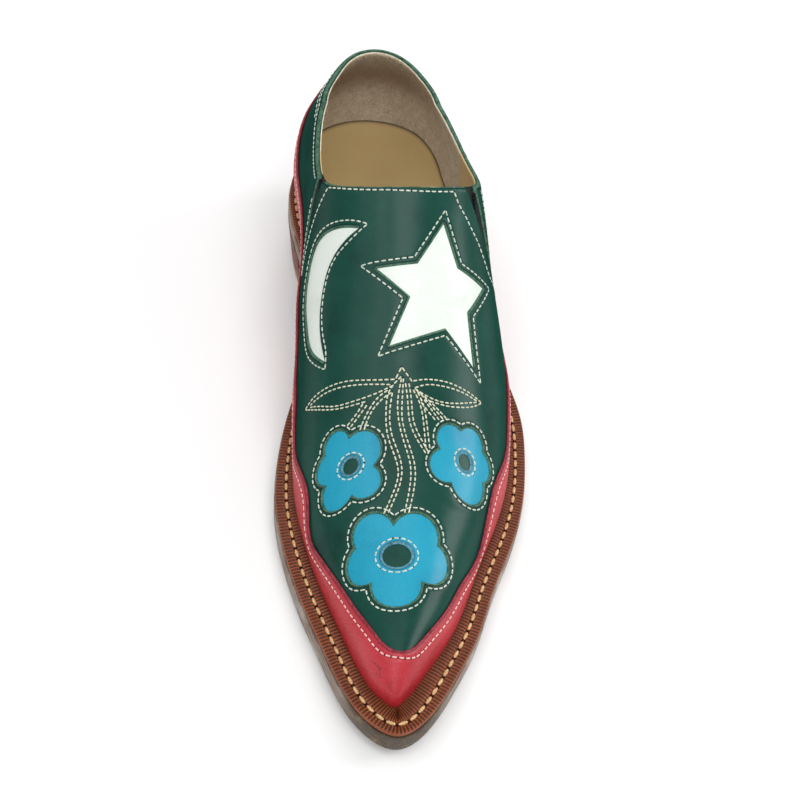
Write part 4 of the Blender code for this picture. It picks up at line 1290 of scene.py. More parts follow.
def lining_material():
    """Tan lining leather, with a suede grip round the heel: pale and frayed at its top, worn dark below."""
    made, tree, shader, place = start_material("lining leather", Specular_IOR_Level=0.25)
    grain = place_group(tree, GRAIN, Place=place, Grain_Scale=1200.0, Mottle_Scale=40.0)
    fuzz = place_group(tree, FUZZ, Place=place, Fibre_Scale=1300.0)
    grip = ramp(tree, attribute(tree, "grip"), *GRIP_EDGE)
    smooth = mixed(tree, grain["Mottle"], *LINING_TAN)
    suede = mixed(tree, fuzz["Fibres"], *SUEDE_TONES)
    suede = mixed(tree, times(tree, attribute(tree, "wear"), GRIP_WEAR), suede, WORN_SUEDE)
    loose = plus(tree, attribute(tree, "fray"), times(tree, fuzz["Fibres"], LOOSE_FIBRES))
    frayed = mixed(tree, fuzz["Fibres"], *FRAYED_TONES)
    suede = mixed(tree, ramp(tree, loose, *FRAY_RANGE), suede, frayed)
    base = mixed(tree, attribute(tree, "slit"), mixed(tree, grip, smooth, suede), SLIT_BLACK)
    nap = times(tree, times(tree, fuzz["Height"], grip), SUEDE_RELIEF)
    relief = plus(tree, times(tree, grain["Height"], LINING_RELIEF), nap)
    finished(tree, shader, relief, 1.0, Base_Color=base, Roughness=ramp(tree, grip, *LINING_GLOSS))
    return made


SOCK_TAN = (colour(182, 156, 106), colour(198, 172, 120))
SOCK_SEAT_SHADE = colour(142, 118, 78)
SEAT_SHADE_STRENGTH = 0.6
SEAM_BROWN = colour(70, 52, 32)
SOCK_GLOSS = (0.2, 0.9, 0.58, 0.42)
SOCK_RELIEF = 0.08


def sock_material():
    """Tan sock leather, darkened over its dished heel seat as painted shade."""
    made, tree, shader, place = start_material("sock leather", Specular_IOR_Level=0.35)
    grain = place_group(tree, GRAIN, Place=place, Grain_Scale=1100.0, Mottle_Scale=30.0)
    base = mixed(tree, grain["Mottle"], *SOCK_TAN)
    # Painted shade: the sock darkened over its dished heel seat
    base = mixed(tree, times(tree, attribute(tree, "seat"), SEAT_SHADE_STRENGTH), base, SOCK_SEAT_SHADE)
    base = mixed(tree, attribute(tree, "seam"), base, SEAM_BROWN)
    rough = ramp(tree, grain["Height"], *SOCK_GLOSS)
    finished(tree, shader, grain["Height"], SOCK_RELIEF, Base_Color=base, Roughness=rough)
    return made


ELASTIC_TONES = (colour(10, 11, 12), colour(30, 32, 34))
ELASTIC_RELIEF = 0.25


def elastic_material():
    """Black ribbed elastic."""
    made, tree, shader, place = start_material("black elastic", Roughness=0.85, Specular_IOR_Level=0.2)
    setup = {"bands_direction": "Y"}
    wave = node(tree, "ShaderNodeTexWave", Vector=place, Scale=260.0, Distortion=0.4, setup=setup)
    ribs = wave.outputs["Fac"]
    finished(tree, shader, ribs, ELASTIC_RELIEF, Base_Color=mixed(tree, ribs, *ELASTIC_TONES))
    return made


WELT = welt_material()
SOLE_EDGE = sole_edge_material(
    "sole edge leather", colour(146, 128, 114), colour(108, 88, 76), colour(184, 174, 164))
HEEL_STACK = sole_edge_material(
    "stacked heel leather", colour(128, 66, 50), colour(84, 40, 30), colour(140, 96, 80))
TOP_PIECE = sole_edge_material(
    "top piece rubber", colour(150, 126, 100), colour(112, 92, 72), colour(164, 146, 122))
LINING = lining_material()
SOCK = sock_material()
ELASTIC = elastic_material()


# Green upper with its cut-outs, slits and raw collar
FINE_STEP = 1.4
COARSE_STEP = 5.0
BAND_STEP = 0.55
BAND_REACH = 5.0
BAND_LEVELS = np.array([0.4, 0.8, EDGE_WIDTH, 1.5, 2.0, 2.5, 3.0, 3.7])
BAND_THINNING = 0.55
SHEET_THINNING = 0.5
COLLAR_LEVELS = np.array([0.14, 0.35, 0.6, 0.9, 1.3, 2.2, 3.4])
COLLAR_STEP = 0.9
COLLAR_CLEARANCE = 0.1
CLEARANCE = 0.8
FOOT_STEP = 2.0
HIDDEN_LAP = 4.0
GROOVE_DEPTH = 0.14
GROOVE_WIDTH = 0.45
GROOVE_REACH = 4.0
RIM_WIDTH = 1.1
RIM_DEPTH = 1.7
FAR_AWAY = 9.0
EDGE_FALL = 1.4
RAW_FADE = {"cut": 1.6, "quarter": 1.9, "throat": 0.8}
VAMP_MARGIN = 0.3
HEEL_ROWS = 40
HEEL_CROWDING = 1.6
SLIT_SAMPLES = 200
COLLAR_SAMPLING = 0.25
GREEN_MERGE = 0.06


def side_line(side, girths, stations):
    """Pattern places on one side from girths and stations."""
    return np.column_stack([SIDES[side] * girths, along_at(stations)])


def girth_at(girths, side, stations):
    """Girth of the feather or of the collar on one side at stations."""
    return np.interp(stations, CHART_STATIONS, girths[side])


def spaced(line, step):
    """Points about a step apart along a line."""
    length = arc_length(line)[-1]
    return resample(line, np.linspace(0.0, length, max(2, int(length / step))))


def collar_line(side, first, last):
    """Collar's places on one side between two stations, in pattern places."""
    stations = np.linspace(first, last, int(abs(last - first) / COLLAR_SAMPLING) + 2)
    return spaced(side_line(side, girth_at(COLLAR_GIRTH, side, stations), stations), COLLAR_STEP)


def slit_edge(side, edge):
    """One edge of a slit from the collar to its foot, in pattern places, and the station where it begins."""
    foot = GORE_FOOT[side]
    girths = np.linspace(GORE_START, foot, SLIT_SAMPLES)
    stations = GORE[side + "_" + edge]((girths - GORE_START) / (foot - GORE_START))
    under = girths - girth_at(COLLAR_GIRTH, side, stations)
    start = int(np.nonzero(under > 0.0)[0][0])
    return spaced(side_line(side, girths[start:], stations[start:]), COLLAR_STEP), float(stations[start])


def collar_and_slit(side):
    """Line from the heel along the collar, round the slit and on to the throat."""
    rear, rear_station = slit_edge(side, "rear")
    front, front_station = slit_edge(side, "front")
    return np.vstack([
        collar_line(side, HEEL_STATION, rear_station)[:-1],
        rear,
        front[::-1],
        collar_line(side, front_station, THROAT_STATION)[1:],
    ])


RIMS = {side: collar_and_slit(side) for side in SIDES}


def heel_edge(side):
    """Places up the section where the heel fan begins, from feather to collar."""
    total = FEATHER_GIRTH[side][0]
    left = np.linspace(1.0, 0.0, HEEL_ROWS) ** HEEL_CROWDING
    girths = COLLAR_GIRTH[side][0] + left * (total - COLLAR_GIRTH[side][0])
    return side_line(side, girths, np.full(HEEL_ROWS, HEEL_STATION))


def feather_line(side):
    """Places along the foot of one side, heel to toe."""
    stations = np.arange(HEEL_STATION, TOE_STATION + FOOT_STEP / 2.0, FOOT_STEP)
    return side_line(side, girth_at(FEATHER_GIRTH, side, stations), stations)


def green_boundary():
    """Outline of the green upper's pattern from the heel fan forward."""
    front = through((feather_line("lateral")[-1], feather_line("medial")[-1]), FOOT_STEP)
    return np.vstack([
        feather_line("lateral")[:-1],
        front[:-1],
        feather_line("medial")[::-1][:-1],
        heel_edge("medial")[:-1],
        RIMS["medial"],
        RIMS["lateral"][::-1][1:],
        heel_edge("lateral")[::-1][:-1],
    ])


def overlay_girth(places):
    """Girth of the red overlay's top edge at pattern places."""
    stations = station_at(places[:, 1])
    found = np.zeros(len(places))
    for side, sign in SIDES.items():
        mine = places[:, 0] * sign >= 0.0
        found[mine] = (girth_at(FEATHER_GIRTH, side, stations) - OVERLAY[side](stations))[mine]
    return found


def banded(points, line, levels, is_loop):
    """Points near a line moved on to set distances from it."""
    far, foot = nearest_on(points, line, is_loop)
    near = (far > levels[0] / 2.0) & (far < levels[-1] + BAND_STEP)
    level = levels[np.argmin(np.abs(far[near][:, None] - levels), axis=1)]
    moved = foot[near] + (points[near] - foot[near]) / far[near][:, None] * level[:, None]
    return thinned(moved, BAND_STEP * BAND_THINNING)


def near_line(points, line, is_loop, width):
    """Distance from each point to a line, without end for points well away from it."""
    close = np.all((points > line.min(axis=0) - width) & (points < line.max(axis=0) + width), axis=1)
    far = np.full(len(points), np.inf)
    far[close] = nearest_on(points[close], line, is_loop)[0]
    return far


def clear_of(points, boundary, distance):
    """Points inside an outline and farther than a distance from it."""
    inside = points[is_inside(points, boundary)]
    return inside[nearest_on(inside, boundary)[0] > distance]


def rim_sink(distance):
    """How far the surface drops over the rounded collar."""
    share = limited(1.0 - distance / RIM_WIDTH)
    return RIM_DEPTH * (1.0 - np.sqrt(1.0 - share ** 2))


def rawness(distance, fade):
    """How raw the leather is at a distance from its edge: one on the edge, none past the fade."""
    return limited(1.0 - distance / fade)


def edge_sink(distance, width, depth):
    """How far the surface drops towards a raw edge."""
    return depth * limited(1.0 - distance / width) ** EDGE_FALL


# Creases: two ends as girth and distance along the ridge, half width, depth
CREASES = (
    ((7.0, 113.0), (22.0, 116.5), 1.1, 0.22),
    ((12.0, 117.5), (31.0, 118.0), 1.0, 0.2),
    ((16.0, 121.5), (34.0, 120.0), 1.2, 0.2),
    ((20.0, 113.5), (36.0, 114.8), 0.9, 0.16),
    ((-30.0, 112.0), (-16.0, 117.0), 1.3, 0.15),
    ((-26.0, 118.0), (-13.0, 121.0), 1.1, 0.14),
    ((-44.0, 62.0), (-30.0, 64.0), 2.4, 0.22),
    ((36.0, 66.0), (50.0, 64.0), 2.4, 0.22),
    ((-60.0, 22.0), (-52.0, 60.0), 4.0, 0.3),
    ((56.0, 26.0), (50.0, 60.0), 4.0, 0.3),
    ((-58.0, -60.0), (-46.0, -44.0), 1.6, 0.25),
    ((-64.0, -58.0), (-50.0, -38.0), 1.6, 0.25),
    ((-68.0, -50.0), (-56.0, -34.0), 1.8, 0.22),
    ((58.0, -60.0), (46.0, -44.0), 1.6, 0.25),
    ((64.0, -58.0), (50.0, -38.0), 1.6, 0.25),
)
CREASE_ENDS = (0.02, 0.98)


def crease_depth(places):
    """Soft troughs of the leather at pattern places."""
    depth = np.zeros(len(places))
    for start, end, width, deep in CREASES:
        line = np.array([start, end])
        far, foot = nearest_on(places, line, False)
        run = (foot - line[0]) @ (line[1] - line[0]) / np.sum((line[1] - line[0]) ** 2)
        depth += deep * np.exp(-(far / width) ** 2) * np.sin(np.clip(run, *CREASE_ENDS) * math.pi)
    return depth


def green_points():
    """Outline and inner points of the green pattern: fine where it shows, coarse under the red."""
    boundary = green_boundary()
    low, high = boundary.min(axis=0), boundary.max(axis=0)
    fine = hex_points(low, high, FINE_STEP)
    fine = fine[np.abs(fine[:, 0]) < overlay_girth(fine) + HIDDEN_LAP]
    coarse = hex_points(low, high, COARSE_STEP)
    coarse = coarse[np.abs(coarse[:, 0]) > overlay_girth(coarse) + HIDDEN_LAP + COARSE_STEP / 2.0]
    inner = clear_of(np.vstack([fine, coarse]), boundary, CLEARANCE)
    bands = []
    for loop in CUTS.values():
        far = near_line(inner, loop, True, BAND_REACH)
        far[is_inside(inner, loop)] *= -1.0
        inner = inner[far > BAND_LEVELS[-1] + BAND_STEP]
        local = hex_points(loop.min(axis=0) - BAND_REACH, loop.max(axis=0) + BAND_REACH, BAND_STEP)
        bands.append(banded(local[~is_inside(local, loop)], loop, BAND_LEVELS, True))
    for rim in RIMS.values():
        far = near_line(inner, rim, False, BAND_REACH)
        inner = inner[far > COLLAR_LEVELS[-1] + COLLAR_STEP / 2.0]
        local = hex_points(rim.min(axis=0) - BAND_REACH, rim.max(axis=0) + BAND_REACH, COLLAR_STEP)
        local = banded(local[is_inside(local, boundary)], rim, COLLAR_LEVELS, False)
        bands.append(clear_of(local, boundary, COLLAR_CLEARANCE))
    return boundary, thinned(np.vstack([inner] + bands), BAND_STEP * SHEET_THINNING)


def green_sink(places):
    """How far the green leather drops at pattern places, and how raw it is there."""
    cut_far = np.full(len(places), FAR_AWAY)
    groove = np.zeros(len(places))
    for name, loop in CUTS.items():
        near = near_line(places, loop, True, GROOVE_REACH)
        cut_far = np.minimum(cut_far, near)
        groove = np.maximum(groove, np.exp(-((near - SETBACK[name]) / GROOVE_WIDTH) ** 2))
    rim_far = np.full(len(places), FAR_AWAY)
    on_vamp = np.zeros(len(places), dtype=bool)
    for side, sign in SIDES.items():
        rim_far = np.minimum(rim_far, nearest_on(places, RIMS[side], False)[0])
        front, _ = slit_edge(side, "front")
        ahead = np.interp(places[:, 0] * sign, front[:, 0] * sign, front[:, 1])
        on_vamp |= (places[:, 0] * sign >= 0.0) & (places[:, 1] > ahead - VAMP_MARGIN)
    sink = edge_sink(cut_far, EDGE_WIDTH, EDGE_DEPTH) + rim_sink(rim_far)
    sink += GROOVE_DEPTH * groove
    sink += crease_depth(places)
    fade = np.where(on_vamp, RAW_FADE["throat"], RAW_FADE["quarter"])
    return sink, np.maximum(rawness(cut_far, RAW_FADE["cut"]), rawness(rim_far, fade))


def heel_back():
    """Columns of points round the back of the heel, from feather to collar, and how raw each point is."""
    columns = list(range(RING["medial_end"], RING_SIZE)) + [0]
    shares = 1.0 - np.linspace(1.0, 0.0, HEEL_ROWS) ** HEEL_CROWDING
    walls = np.array([ring_wall(column, shares * RING["collar"][column]) for column in columns])
    outward = unit(np.cross(np.gradient(walls, axis=1), np.gradient(walls, axis=0)))
    left = (1.0 - shares)[None, :] * RING["collar"][columns][:, None]
    return walls - outward * rim_sink(left)[:, :, None], rawness(left, RAW_FADE["quarter"])


def make_green():
    """Green upper: vamp and quarters from the pattern, joined to the back of the heel."""
    boundary, inner = green_points()
    places, faces = triangulated([boundary] + list(CUTS.values()), inner)
    points, normals = pattern(places)
    sink, raw = green_sink(places)
    walls, heel_raw = heel_back()
    grid = len(points) + np.arange(heel_raw.size).reshape(heel_raw.shape)
    quads = np.stack([grid[:-1, :-1], grid[:-1, 1:], grid[1:, 1:], grid[1:, :-1]], axis=-1).reshape(-1, 4)
    everything = np.vstack([points - normals * sink[:, None], walls.reshape(-1, 3)])
    piece = mesh_piece("green_upper", everything, faces.tolist() + quads.tolist())
    tint(piece, "edge", np.concatenate([raw, heel_raw.ravel()]))
    merge_points(piece, GREEN_MERGE)
    soften(piece)
    dress(piece, GREEN, ("upper",))


# Inlays under the cut-outs
INLAY_LAP = 1.6
INLAY_SINK = 0.8
INLAY_STEP = 2.0
INLAY_SWELL = 0.18
INLAY_SWELL_REACH = 6.0
INLAY_MERGE = 0.02
HEART_WIDTH = 0.9
HEART_DEPTH = 0.45
HEART_RINGS = (0.3, 0.6, HEART_WIDTH, 1.4, 2.0)
HEART_CLEARANCE = 2.2
DISC_SINK = 1.25


def inlay_sheet(name, outline, sink, material, hole=None, nodes=()):
    """Leather sheet under a cut-out, with a hole of its own where one is given."""
    loops = [offset_line(outline, INLAY_LAP)]
    inner = hex_points(outline.min(axis=0) - INLAY_LAP, outline.max(axis=0) + INLAY_LAP, INLAY_STEP)
    inner = clear_of(inner, loops[0], CLEARANCE)
    if hole is not None:
        loops.append(hole)
        inner = inner[~is_inside(inner, hole)]
        inner = inner[nearest_on(inner, hole)[0] > HEART_CLEARANCE]
        inner = np.vstack([inner] + [offset_line(hole, width) for width in HEART_RINGS])
    places, faces = triangulated(loops, inner)
    points, normals = pattern(places)
    raw = np.zeros(len(places))
    far, _ = nearest_on(places, outline)
    depth = sink - INLAY_SWELL * limited(far / INLAY_SWELL_REACH) * is_inside(places, outline)
    if hole is not None:
        rim, _ = nearest_on(places, hole)
        depth += edge_sink(rim, HEART_WIDTH, HEART_DEPTH)
        raw = rawness(rim, 2.0 * HEART_WIDTH)
    piece = mesh_piece(name, points - normals * depth[:, None], faces.tolist())
    tint(piece, "edge", raw)
    merge_points(piece, INLAY_MERGE)
    soften(piece)
    dress(piece, material, nodes)


def make_inlays():
    """Moon, star and flowers, and the green discs that show through the flowers' holes."""
    for name in ("moon", "star"):
        inlay_sheet(name, CUTS[name], INLAY_SINK, WHITE, nodes=(name + "_inlay",))
    for name in FLOWERS:
        hole = heart(name, "hole")
        inlay_sheet(name + "_flower", CUTS[name + "_flower"], INLAY_SINK, TURQUOISE,
                    hole, (name + "_flower_inlay",))
        inlay_sheet(name + "_flower_heart", hole, DISC_SINK, GREEN)


# Red overlays
TOP_ROWS = np.array([0.0, 0.25, 0.7, 1.3, 1.9, 2.5, 3.1, 3.8, 5.0])
OVERLAY_BODY_ROWS = 9
OVERLAY_STITCH = 2.6
OVERLAY_FADE = 1.2
OVERLAY_ANGLE = 50.0
EDGE_SHARE = 0.45
EDGE_ROUNDING = 0.6
STITCH_GROOVE = 0.16
STITCH_GROOVE_WIDTH = 0.5
LIFT_REACH = 4.0
BAND_END = OVERLAY_STITCH - 0.1
BAND_SOFTNESS = 0.6
WING_TURN = 256.0
WING_TIP_STATION = 261.5
WING_SAMPLES = 56
WING_EDGE_STEP = 0.8
WING_STEP = 1.5
WING_FOOT = 2.9
WING_FOOT_TURNS = 3
WING_LEVELS = np.array([0.3, 0.7, 1.3, 1.9, OVERLAY_STITCH, 3.2, 4.0])
TOE_SOFT_REACH = 13.0
TOE_SOFT_EDGE = 2.0
TOE_SOFT_SHARE = 0.5
TOE_SOFT_ROUNDS = 60


def overlay_profile(distance):
    """Height of the red leather's face above the green, by distance from its edge."""
    rise = OVERLAY_THICKNESS * (EDGE_SHARE + (1.0 - EDGE_SHARE) * limited(distance) ** EDGE_ROUNDING)
    groove = STITCH_GROOVE * np.exp(-((distance - OVERLAY_STITCH) / STITCH_GROOVE_WIDTH) ** 2)
    return rise + GAP * limited(distance / LIFT_REACH) - groove


def wing_edge():
    """Top edge of the toe wing from seam to seam, in pattern places."""
    stations = np.linspace(OVERLAY_SEAM, WING_TURN, WING_SAMPLES)
    sides = {}
    for side in SIDES:
        girths = girth_at(FEATHER_GIRTH, side, stations) - OVERLAY[side](stations)
        sides[side] = side_line(side, girths, stations)
    tip = np.array([[0.0, float(along_at(WING_TIP_STATION))]])
    return through(np.vstack([sides["lateral"], tip, sides["medial"][::-1]]), WING_EDGE_STEP)


def wing_foot():
    """Foot of the toe wing on the welt from seam to seam, in pattern places."""
    stations = np.arange(OVERLAY_SEAM, TOE_STATION, FOOT_STEP)
    sides = {}
    for side in SIDES:
        sides[side] = side_line(side, girth_at(FEATHER_GIRTH, side, stations) - WING_FOOT, stations)
    turns = math.pi * np.arange(0, TOE_TURNS + 1, WING_FOOT_TURNS) / TOE_TURNS
    reach_out = (TOE_FEATHER[::WING_FOOT_TURNS] - WING_FOOT)[:, None]
    toe = np.column_stack([np.cos(turns), np.sin(turns)]) * reach_out + (0.0, TOE_ALONG)
    return np.vstack([sides["lateral"], toe, sides["medial"][::-1]])


def relaxed(points, faces, share, rounds):
    """Points drawn towards the mean of their neighbours, each by its own share."""
    pairs = np.vstack([faces[:, [0, 1]], faces[:, [1, 2]], faces[:, [2, 0]]])
    pairs = np.vstack([pairs, pairs[:, ::-1]])
    count = np.bincount(pairs[:, 0], minlength=len(points))
    for _ in range(rounds):
        total = np.zeros_like(points)
        np.add.at(total, pairs[:, 0], points[pairs[:, 1]])
        mean = total / np.maximum(count, 1)[:, None]
        points = points + (mean - points) * share[:, None]
    return points


def toe_softness(places, far):
    """How much each place is smoothed, round the middle of the toe and away from an edge."""
    gone = np.hypot(places[:, 0], places[:, 1] - TOE_ALONG)
    return TOE_SOFT_SHARE * limited(1.0 - gone / TOE_SOFT_REACH) * limited(far / TOE_SOFT_EDGE)


def tint_overlay(piece, far):
    """Marks an overlay's raw edge and the band outside its stitching, by distance from the edge."""
    tint(piece, "edge", rawness(far, OVERLAY_FADE))
    tint(piece, "band", limited((BAND_END - far) / BAND_SOFTNESS))


def finish_overlay(piece, node_name):
    """Gives an overlay its thickness and its red leather."""
    thicken(piece, OVERLAY_THICKNESS + GAP, -1.0)
    soften(piece, OVERLAY_ANGLE)
    dress(piece, RED, (node_name,))


def make_toe_wing():
    """Toe wing: a raw wavy edge, a stitched groove and a face that follows the last round the toe."""
    edge = wing_edge()
    boundary = np.vstack([edge, wing_foot()[::-1]])
    low, high = boundary.min(axis=0), boundary.max(axis=0)
    inner = clear_of(hex_points(low, high, WING_STEP), boundary, CLEARANCE)
    fine = hex_points(low, high, BAND_STEP)
    band = banded(fine[is_inside(fine, boundary)], edge, WING_LEVELS, False)
    band = band[is_inside(band, boundary)]
    inner = inner[nearest_on(inner, edge, False)[0] > WING_LEVELS[-1] + BAND_STEP]
    places, faces = triangulated([boundary], thinned(np.vstack([inner, band]), BAND_STEP))
    points, normals = pattern(places)
    far, _ = nearest_on(places, edge, False)
    points = relaxed(points, faces, toe_softness(places, far), TOE_SOFT_ROUNDS)
    lifted = points + normals * overlay_profile(far)[:, None]
    piece = mesh_piece("toe_wing_leather", lifted, faces.tolist())
    tint_overlay(piece, far)
    merge_points(piece)
    finish_overlay(piece, "toe_wing")


def make_counter():
    """Heel counter: a raw wavy edge, a stitched groove and a face that follows the last round the heel."""
    grid = []
    for column in back_columns(OVERLAY_SEAM):
        top = RING["overlay"][column]
        body = np.linspace(top - TOP_ROWS[-1], WING_FOOT, OVERLAY_BODY_ROWS + 1)[1:]
        grid.append(ring_wall(column, np.concatenate([top - TOP_ROWS, body])))
    grid = np.array(grid)
    outward = unit(np.cross(np.gradient(grid, axis=0), np.gradient(grid, axis=1)))
    far = nearest_on(grid.reshape(-1, 3), grid[:, 0], False)[0].reshape(grid.shape[:2])
    piece = formed_grid("heel_counter_leather", grid + outward * overlay_profile(far)[:, :, None])
    tint_overlay(piece, far.T.ravel())
    finish_overlay(piece, "heel_counter")


# Welt, outsole, heel, sock and lining
RIB_PITCH = 1.4
RIB_POINTS = 5
RIB_DEPTH = 0.7
WELT_ROWS = (
    # place across: 0 at the wall, 1 in the channel, 2 at the outer edge; height above the top; rib share
    (-0.1, -2.6, 0.0),
    (0.0, 0.4, 0.3),
    (0.2, 0.5, 1.0),
    (0.45, 0.45, 1.0),
    (0.7, 0.3, 1.0),
    (0.84, -0.05, 0.6),
    (1.0, -0.42, 0.0),
    (1.2, -0.1, 0.6),
    (1.38, 0.14, 1.0),
    (1.6, 0.12, 1.0),
    (1.8, 0.06, 1.0),
    (1.93, -0.1, 0.8),
    (2.0, -0.7, 0.3),
    (2.0, -2.2, 0.0),
    (1.9, -3.2, 0.0),
    (-0.1, -3.2, 0.0),
)
CHANNEL = 1.0
CHANNEL_SHADE = 0.75
# Stitched channel's place across the welt, along the sides and at the toe's point
CHANNEL_SIDE = 0.62
CHANNEL_TOE = 0.73
CHANNEL_STATIONS = (255.0, 282.0)
WELT_ANGLE = 70.0
SOLE_ANGLE = 40.0
LOOP_MERGE = 0.005
EDGE_LENGTH = arc_length(looped(EDGE))


def welt_share(place):
    """Share of the margin in from the welt's edge, all round the shoe, for a place across the welt."""
    channel = np.interp(EDGE[:, 1], CHANNEL_STATIONS, (CHANNEL_SIDE, CHANNEL_TOE))
    if place <= CHANNEL:
        return 1.0 - place * channel
    return (2.0 - place) * (1.0 - channel)


def plan_points(count, share, inset):
    """Points evenly spread round the shoe's plan, set in from the welt's edge."""
    loop = looped(plan_loop(share, inset))
    places = np.linspace(0.0, EDGE_LENGTH[-1], count, endpoint=False)
    return np.column_stack([np.interp(places, EDGE_LENGTH, loop[:, axis]) for axis in range(2)])


def make_welt():
    """Ribbed welt with a sunk channel for its stitches."""
    count = int(EDGE_LENGTH[-1] / RIB_PITCH) * RIB_POINTS
    wave = 0.5 + 0.5 * np.cos(2.0 * math.pi * np.arange(count) / RIB_POINTS)
    rows = []
    crown = []
    for across, height, rib in WELT_ROWS:
        plan = plan_points(count, welt_share(across), 0.0)
        level = SEAT(plan[:, 1]) + GAP + WELT_THICKNESS + height - RIB_DEPTH * rib * (1.0 - wave)
        rows.append(raised(plan, level))
        # Crown is low in the gaps between ribs and in the channel, where the welt is darkened as painted
        # shade
        crown.append(1.0 - rib * (1.0 - wave) - (CHANNEL_SHADE if across == CHANNEL else 0.0))
    piece = formed_grid("ribbed_welt", looped(looped(np.array(rows)).transpose(1, 0, 2)))
    tint(piece, "crown", looped(looped(np.array(crown)).T).T.ravel())
    merge_points(piece, LOOP_MERGE)
    soften(piece, WELT_ANGLE)
    dress(piece, WELT, ("welt",))


def banded_solid(name, loops, material, nodes):
    """Closed solid through loops of points from the top down, closed by a flat face at each end."""
    piece = formed_grid(name, looped(np.array(loops).transpose(1, 0, 2)))
    merge_points(piece, LOOP_MERGE)
    bpy.ops.object.mode_set(mode="EDIT")
    bpy.ops.mesh.select_all(action="DESELECT")
    bpy.ops.mesh.select_mode(type="EDGE")
    bpy.ops.mesh.select_non_manifold()
    bpy.ops.mesh.edge_face_add()
    bpy.ops.mesh.quads_convert_to_tris(quad_method="BEAUTY", ngon_method="BEAUTY")
    bpy.ops.mesh.select_all(action="SELECT")
    bpy.ops.mesh.normals_make_consistent(inside=False)
    bpy.ops.object.mode_set(mode="OBJECT")
    soften(piece, SOLE_ANGLE)
    dress(piece, material, nodes)


SOLE_COUNT = 480
OUTSOLE_ROWS = (
    # set in from the welt's edge, share of the sole's height, lift
    (8.0, 1.0, 0.0),
    (-0.2, 1.0, 0.0),
    (-0.5, 1.0, -0.5),
    (-0.5, 0.6, 0.0),
    (-0.45, 0.0, 1.4),
    (0.0, 0.0, 0.5),
    (0.8, 0.0, 0.0),
)


def make_outsole():
    """Leather outsole: a slightly rounded edge, a bevel and a flat tread that follows the arch."""
    loops = []
    for inset, share, lift in OUTSOLE_ROWS:
        plan = plan_points(SOLE_COUNT, 0.0, inset)
        top = SEAT(plan[:, 1])
        bottom = sole_bottom(plan[:, 1])
        loops.append(raised(plan, bottom + share * (top - bottom) + lift))
    banded_solid("leather_outsole", loops, SOLE_EDGE, ("outsole",))


HEEL_COUNT = 160
BREAST_COUNT = 24
LIFT_GAP = 0.1
LIFT_BEVEL = 0.02
LIFT_TUCK = 0.25


def heel_loop(inset, share):
    """Closed loop of the heel's plan at a share of its height, straight across at the breast."""
    plan = plan_points(SOLE_COUNT, 0.0, inset)
    shown = plan[plan[:, 1] < HEEL_BREAST]
    shown = shown[np.argsort(np.arctan2(shown[:, 0], HEEL_BREAST - shown[:, 1]))]
    across = np.linspace(shown[-1, 0], shown[0, 0], BREAST_COUNT)
    breast = np.column_stack([across, np.full(BREAST_COUNT, HEEL_BREAST)])
    loop = looped(np.vstack([shown, breast]))
    even = resample(loop, np.linspace(0.0, arc_length(loop)[-1], HEEL_COUNT, endpoint=False))
    return raised(even, share * (sole_bottom(even[:, 1]) - GAP))


def make_heel():
    """Stacked lifts over a top piece, each with softly rounded edges."""
    stack = float(sole_bottom(HEEL_STATION)) - GAP
    first = TOP_PIECE_THICKNESS / stack
    shares = [0.0] + [first + (1.0 - first) * lift / HEEL_LIFTS for lift in range(HEEL_LIFTS + 1)]
    for place, (low, above) in enumerate(zip(shares, shares[1:])):
        high = above - LIFT_GAP / stack
        rows = ((high, LIFT_TUCK), (high - LIFT_BEVEL, 0.0), (low + LIFT_BEVEL, 0.0), (low, LIFT_TUCK))
        loops = [heel_loop(HEEL_TAPER * (1.0 - share) - OUTSOLE_LIP + tuck, share) for share, tuck in rows]
        name = "heel_lift_%d" % place if place else "heel_top_piece"
        material = HEEL_STACK if place else TOP_PIECE
        banded_solid(name + "_leather", loops, material, (name,))


SOCK_ROWS = 22
SOCK_SPACING = 2
SOCK_CROWDING = 1.5
SOCK_CUP = 3.2
SOCK_TURN = 6
SOCK_DISH = 1.0
SOCK_SEAM = 0.9
SEAM_START = 0.965
SEAM_FADE = 0.02
SOCK_REACH = 40.0
CUP_STATIONS = (70.0, 130.0)
# Spots, each a middle and a half width in two directions: along and across, along and up. The seat's spot is
# painted shade in the sock's dish, the lining's spot is wear.
SEAT_SHADE_SPOT = ((40.0, 26.0), (6.0, 17.0))
LINING_WEAR = ((8.0, 22.0), (78.0, 11.0))


def wear_and_shade_spot(first, second, spot):
    """How strongly a spot marks places, as painted shade on the sock and as wear on the lining: one in its
    middle, falling off in two directions.
    """
    (middle, width), (level, height) = spot
    return np.exp(-((first - middle) / width) ** 2 - ((second - level) / height) ** 2)


def pad_top(station):
    """Height of the padded insole's top."""
    return SEAT(station) + GAP + PAD(station)


def sock_cup(station):
    """How far the sock's edge is turned up against the lining."""
    return SOCK_CUP * limited((CUP_STATIONS[1] - station) / (CUP_STATIONS[1] - CUP_STATIONS[0]))


def sock_spoke(column):
    """Middle and edge of the sock on one section of the ring, in plan."""
    wall = ring_wall(column, np.arange(0.0, SOCK_REACH, UP_STEP))
    station = HALF_LENGTH - wall[0, 1]
    height = float(pad_top(station) + sock_cup(station))
    edge = np.array([np.interp(height, wall[:, 2], wall[:, axis]) for axis in range(2)])
    edge[1] = HALF_LENGTH - edge[1]
    along = np.clip(station, HEEL_STATION, TOE_STATION)
    middle = np.array([float(LAST["ridge_x"](along)), along])
    return middle, edge - unit(edge - middle) * WALL


